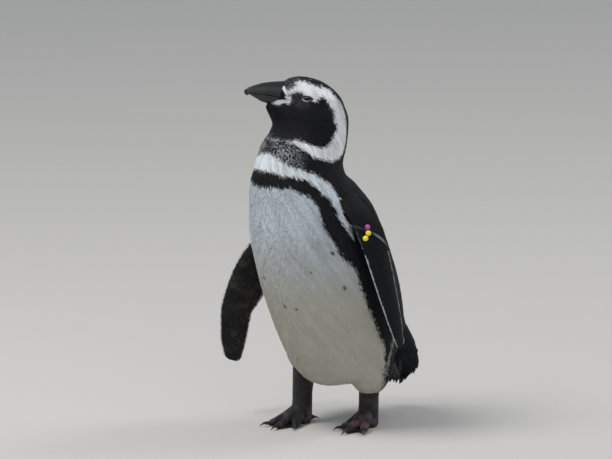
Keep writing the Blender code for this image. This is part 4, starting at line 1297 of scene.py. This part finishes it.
# One stiff feather: its mesh, half width, ridge, distance out from the fleshy root, how far
# its root is tucked in, how far neighbours are staggered, and its thickness
BLADE_ROWS = 14
BLADE_COLUMNS = 5
BLADE_HALF_WIDTH = 0.0048
BLADE_RIDGE = 0.0010
BLADE_STAND_OFF = 0.0010
BLADE_TUCK = 0.007
BLADE_STAGGER = 0.0008
BLADE_THICKNESS = 0.0005

# Coverts: how many are tried, heights of their roots, the lowest kept, sizes and lift
COVERTS = 2600
COVERT_HEIGHTS = (0.069, 0.122)
COVERT_LOWEST = 0.074
COVERT_LENGTHS = (0.011, 0.018)
COVERT_WIDTHS = (0.0026, 0.0044)
COVERT_LIFT = 0.15


def tail_surface(height, turn, extra=0.0):
    """Points round the tail's fleshy root."""
    middle = between(TAIL_HEIGHTS, TAIL_MIDDLES, height)
    wide = between(TAIL_HEIGHTS, TAIL_WIDTHS, height) + extra
    backs = between(TAIL_HEIGHTS, TAIL_BACKS, height)
    deep = np.where(np.sin(turn) > 0, backs, between(TAIL_HEIGHTS, TAIL_FRONTS, height))
    lean = (between(TAIL_HEIGHTS, TAIL_MIDDLES, height + 0.002) - middle) / 0.002
    share = np.sin(turn) * (deep + extra) / np.sqrt(1.0 + lean ** 2)
    return np.stack([np.cos(turn) * wide, middle + share, height - share * lean], axis=-1) + PLACE


def tail_root():
    """The tail's fleshy root, to be blended into the body's skin."""
    heights, turn = np.meshgrid(np.linspace(0.0610, 0.188, 70), ring_turns(64), indexing="ij")
    drawn_in = -0.0030 * (1.0 - smooth_step(heights, 0.074, 0.102))
    return loft("tail_root", tail_surface(heights, turn, drawn_in))


def tail_blade(tier, share, odd):
    """One stiff feather at a share from -1 to 1 of its tier: a ridged blade, blunt at its tip."""
    _, root_z, tip_z, root_spread, tip_spread, back = tier
    jitter = RNG.normal(0.0, 1.0, 3)
    facing = math.copysign(1.0, back)
    t = np.linspace(0.0, 1.0, BLADE_ROWS)
    rise = LEFT_TIP_RISE if share > 0 else RIGHT_TIP_RISE
    z = root_z + (tip_z + rise * share * share + 0.0010 * jitter[0] - root_z) * t
    x = share * (root_spread + (tip_spread - root_spread) * t) + 0.0004 * jitter[1] + TAIL_SWING * t * t
    roundness = 1.0 - (x / between(TAIL_HEIGHTS, TAIL_WIDTHS, z)) ** 2
    depth = between(TAIL_HEIGHTS, TAIL_BACKS if back > 0 else TAIL_FRONTS, z)
    depth = depth * np.sqrt(np.clip(roundness, 0.05, 1.0)) * smooth_step(z, 0.046, 0.066)
    tuck = BLADE_TUCK * (1.0 - smooth_step(t, 0.05, 0.46))
    y = between(TAIL_HEIGHTS, TAIL_MIDDLES, z) + back + facing * (depth + BLADE_STAND_OFF - tuck)
    y = y - 0.003 * share ** 2 + BLADE_STAGGER * (1 if odd else -1) + 0.0003 * jitter[2]
    across = np.linspace(-1.0, 1.0, BLADE_COLUMNS)
    wide = BLADE_HALF_WIDTH * np.sqrt(np.clip(1.0 - t ** 5, 0.01, 1.0))
    ridge = (1.0 - np.abs(across)) * BLADE_RIDGE * facing
    grid = np.broadcast_arrays(x[:, None] + wide[:, None] * across, y[:, None] + ridge, z[:, None])
    base = BLACK_BACK * (0.9 + 0.25 * RNG.random()) + np.array([0.010, 0.009, 0.008]) * t[:, None, None]
    shaft = np.array([0.006, 0.006, 0.006]) * (np.abs(across) < 0.2)[None, :, None]
    return np.stack(grid, axis=-1) + PLACE, base + shaft


def make_tail_feathers():
    points = []
    colours = []
    places = []
    for number, tier in enumerate(TAIL_TIERS):
        count = tier[0]
        for index in range(count):
            share = 2.0 * index / (count - 1) - 1.0
            grid, colour = tail_blade(tier, share, index % 2)
            points.append(grid)
            colours.append(colour)
            u = 0.1 + 0.8 * (share + 1) / 2 + np.linspace(-0.010, 0.010, BLADE_COLUMNS)
            v = 0.05 + 0.3 * number + 0.25 * np.linspace(0.0, 1.0, BLADE_ROWS)
            places.append(np.stack(np.meshgrid(u, v), axis=-1))
    one = grid_faces(BLADE_ROWS, BLADE_COLUMNS, wrap_columns=False)
    starts = np.arange(len(points)) * BLADE_ROWS * BLADE_COLUMNS
    faces = (starts[:, None, None] + one).reshape(-1, 4)
    feathers = array_mesh("tail_feathers", np.array(points).reshape(-1, 3), faces,
                          np.array(colours).reshape(-1, 3), np.array(places).reshape(-1, 2))
    thicken(feathers, BLADE_THICKNESS, 0.0)
    material = new_material("tail_feathers", 0.5, specular=0.35)
    grain(material, 0.0008, 0.3, 0.0003)
    keep(feathers, material, "feather_dark", "tail")


def make_tail_coverts():
    """Long feathers that close over the stiff feathers' roots."""
    height = RNG.uniform(*COVERT_HEIGHTS, COVERTS)
    turn = RNG.uniform(0.0, math.tau, COVERTS)
    covered = tail_surface(height, turn)[:, 2] > COVERT_LOWEST
    height, turn = height[covered], turn[covered]
    count = len(height)
    root = tail_surface(height, turn, -0.0006)
    lie = unit(tail_surface(height - 0.002, turn, -0.0006) - root)
    normal = unit(np.cross(lie, tail_surface(height, turn + 0.02, -0.0006) - root))
    normal = turned_from(tail_surface(height, turn, -0.003), root, normal)
    length = RNG.uniform(*COVERT_LENGTHS, count)
    width = RNG.uniform(*COVERT_WIDTHS, count)
    colour = BLACK_BACK * RNG.uniform(0.8, 1.4, count)[:, None]
    colour = colour + gleam(count)
    uv = np.stack([in_margin(turn / math.tau), (height - 0.06) / 0.075], axis=-1)
    material = new_material("tail_coverts", 0.62, specular=0.22)
    vanes("tail_coverts", root, normal, lie, length, width, np.full(count, COVERT_LIFT), colour,
          np.clip(uv, 0.01, 0.99), material, "feather_dark")


# Legs, feet and claws

def foot_material(name):
    """Dark scaly skin, coarse under the scales."""
    material = new_material(name, 0.5, specular=0.42)
    tree = material.node_tree
    inputs = {"Vector": object_place(tree), "Scale": 560.0}
    scales = shader_node(tree, "TexVoronoi", inputs, feature="DISTANCE_TO_EDGE")
    ramp = shader_node(tree, "MapRange", {"Value": scales.outputs["Distance"], "From Max": 0.16})
    bump(material, ramp.outputs["Result"], 0.9, 0.0006)
    grain(material, 0.0035, 0.5, 0.0012)
    return material


def make_foot(label):
    """A leg and its foot in one skin, drawn in where it meets the floor."""
    nodes = (f"leg_{label}", f"foot_{label}")
    skin = remeshed(f"foot_{label}_skin", nodes, FOOT_VOXEL, 5)
    mesh = skin.data
    co = vectors(mesh.vertices, "co")
    co[:, 2] = np.maximum(co[:, 2], 0.0)
    level = vectors(mesh.vertex_normals, "vector") * np.array([1.0, 1.0, 0.0])
    tuck = 0.0022 * np.clip(1.0 - co[:, 2] / 0.006, 0.0, 1.0) ** 2
    tuck = tuck * np.clip(np.linalg.norm(level, axis=1) * 2.0, 0.0, 1.0)
    co -= unit(level + 1e-9) * tuck[:, None]
    set_positions(mesh, co)
    # Pink blotches on dark skin, fewer up the leg; the dark is partly the skin's own black and partly
    # painted shade
    blotch = smooth_step(noise(co, 0.010) * 0.6 + noise(co, 0.004) * 0.4, 0.46, 0.70)
    low = 1.0 - smooth_step(co[:, 2], 0.010, 0.030)
    paint(mesh, mixed(FOOT_DARK, FOOT_PINK, blotch * (0.25 + 0.6 * low)))
    keep(skin, foot_material(f"foot_{label}_skin"), "foot_skin", *nodes)


def make_claws(label):
    for toe in ("inner", "middle", "outer", "hind"):
        node = f"claw_{label}_{toe}"
        material = new_material(node, 0.32, colour=(0.018, 0.016, 0.016), specular=0.5, coat=0.2)
        mottle(material, 0.003, 0.5)
        grain(material, 0.0010, 0.3, 0.0002)
        finish(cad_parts[node], material)


# The band on the left flipper

# The height of its middle, then its width and slant as shares of the flipper's length
BAND_HEIGHT = 0.290
BAND_WIDTH = 0.020
BAND_SLANT = 0.100

# The strap and the beads in metres, and how finely both are made
BAND_THICKNESS = 0.0009
BAND_CLEARANCE = 0.0006
STRAP_SIDES = 16
STRAP_POINTS = 160
BEAD_RINGS = 28
BEAD_POINTS = 36
BEAD_DEPTH = 0.94
BEADS = (
    ("bead_pink", "bead_pink", BEAD_PINK),
    ("bead_yellow_1", "bead_yellow", BEAD_YELLOW),
    ("bead_yellow_2", "bead_yellow", BEAD_YELLOW),
)


def signed_power(value, power):
    return math.copysign(abs(value) ** power, value)


def band_place():
    """Where along the left flipper the band's middle lies."""
    places = np.linspace(0.0, 1.0, 2001)
    heights = flipper_frame(FLIPPER_LEFT, places)[0][:, 2]
    return places[int(np.argmin(np.abs(heights - BAND_HEIGHT)))]


def make_strap(at):
    turn = ring_turns(STRAP_POINTS)
    profile = []
    for step in range(STRAP_SIDES):
        angle = math.tau * step / STRAP_SIDES
        end = signed_power(math.cos(angle), 0.35) * 0.5
        rise = signed_power(math.sin(angle), 0.5) * 0.5 + 0.5
        place = at - BAND_SLANT * np.cos(turn) + BAND_WIDTH * end
        depth = BAND_CLEARANCE + BAND_THICKNESS * rise
        profile.append(flipper_surface(FLIPPER_LEFT, place, turn, depth))
    grid = np.array(profile)
    # Painted highlight: a lighter stretch on the strap's outer face towards the trailing edge, where
    # the metal catches the light
    wear_and_sheen = smooth_step(turn, 1.45, 1.70) * (1.0 - smooth_step(turn, 2.05, 2.60))
    shades = np.broadcast_to(STRAP_GREY + STRAP_SHEEN * wear_and_sheen[:, None], grid.shape)
    faces = grid_faces(STRAP_SIDES, STRAP_POINTS, wrap_rows=True)
    strap = facing_out(array_mesh("strap", grid.reshape(-1, 3), faces, shades.reshape(-1, 3)))
    material = new_material("strap", 0.38, specular=0.4)
    mottle(material, 0.006, 0.14)
    grain(material, 0.002, 0.3, 0.0002)
    keep(strap, material, "band_strap", "band_strap")


def make_beads(at):
    """Round beads in line with the flipper, dimpled at both ends."""
    run = flipper_frame(FLIPPER_LEFT, np.array([at]))[1][0]
    side = unit(np.cross(run, HEAD_UP))
    rise = np.cross(side, run)
    turns = ring_turns(BEAD_POINTS)[:, None]
    around = side * np.cos(turns) + rise * np.sin(turns)
    for node, slot, colour in BEADS:
        low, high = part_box(node)
        centre = np.array((low + high) / 2)
        radius = (high - low).x / 2
        rings = []
        for step in range(BEAD_RINGS):
            angle = math.pi * (step + 0.5) / BEAD_RINGS
            wide = radius * math.sin(angle) ** 0.8
            deep = -math.cos(angle) * radius * BEAD_DEPTH
            dimple = max(0.0, 1.0 - wide / (radius * 0.35)) * radius * 0.5
            rings.append(centre + run * (deep - math.copysign(dimple, deep)) + around * wide)
        bead = loft(node + "_bead", np.array(rings))
        material = new_material(node, 0.22, colour=colour, specular=0.5, coat=0.4)
        mottle(material, 0.004, 0.10)
        keep(bead, material, slot, node)


# Floor, light and camera

FLOOR_SIZE = 60.0

# Lamps: name, place, watts, size and colour, and the point they all face
LAMPS = (
    ("key", (-0.5, -1.5, 3.0), 62.0, 1.3, (1.0, 0.98, 0.95)),
    ("fill", (2.8, -1.6, 1.5), 12.0, 2.2, (0.92, 0.96, 1.0)),
    ("rim", (0.8, 2.4, 2.6), 26.0, 1.4, (1.0, 0.98, 0.94)),
)
LAMPS_AIM = Vector((0.0, 0.0, 0.25))


def make_floor():
    bpy.ops.mesh.primitive_plane_add(size=FLOOR_SIZE)
    floor = bpy.context.object
    floor.name = "floor"
    floor.data.materials.append(new_material("floor", 0.9, colour=(0.62, 0.61, 0.59), specular=0.2))


def make_light():
    world = bpy.data.worlds.new("studio")
    bpy.context.scene.world = world
    world.use_nodes = True
    background = world.node_tree.nodes["Background"]
    background.inputs["Color"].default_value = (0.86, 0.90, 0.96, 1.0)
    background.inputs["Strength"].default_value = 0.42
    bpy.context.scene.view_settings.view_transform = "Standard"
    for name, place, power, size, colour in LAMPS:
        data = bpy.data.lights.new(name, "AREA")
        data.energy = power
        data.size = size
        data.color = colour
        lamp = linked(name, data)
        lamp.location = place
        lamp.rotation_euler = (LAMPS_AIM - Vector(place)).to_track_quat("-Z", "Y").to_euler()


def make_camera():
    right = Vector((math.cos(VIEW_AZIMUTH), math.sin(VIEW_AZIMUTH), 0.0))
    level = math.cos(VIEW_ELEVATION)
    back = Vector((
        math.sin(VIEW_AZIMUTH) * level, -math.cos(VIEW_AZIMUTH) * level, math.sin(VIEW_ELEVATION),
    ))
    across = (PICTURE_WIDTH / 2 - FEET_PIXEL[0]) * METRES_PER_PIXEL
    above = (FEET_PIXEL[1] - PICTURE_HEIGHT / 2) * METRES_PER_PIXEL
    target = Vector(PLACE) + right * across + back.cross(right) * above
    data = bpy.data.cameras.new("camera")
    data.sensor_width = SENSOR_WIDTH
    data.lens = SENSOR_WIDTH * CAMERA_DISTANCE / (PICTURE_WIDTH * METRES_PER_PIXEL)
    data.clip_end = FAR_AWAY
    camera = linked("camera", data)
    camera.location = target + back * CAMERA_DISTANCE
    camera.rotation_euler = back.to_track_quat("Z", "Y").to_euler()
    bpy.context.scene.camera = camera


make_floor()
make_light()
make_camera()
body = make_body()
make_coat(body)
for flipper, sections, leading_inner in (
    ("flipper_left", FLIPPER_LEFT, 0.980), ("flipper_right", FLIPPER_RIGHT, 0.950),
):
    make_flipper_skin(flipper, sections, leading_inner)
    make_flipper_coat(flipper, sections, leading_inner)
make_bill()
make_nostrils()
make_eyes(body)
make_tail_feathers()
make_tail_coverts()
for label in ("left", "right"):
    make_foot(label)
    make_claws(label)
make_strap(band_place())
make_beads(band_place())
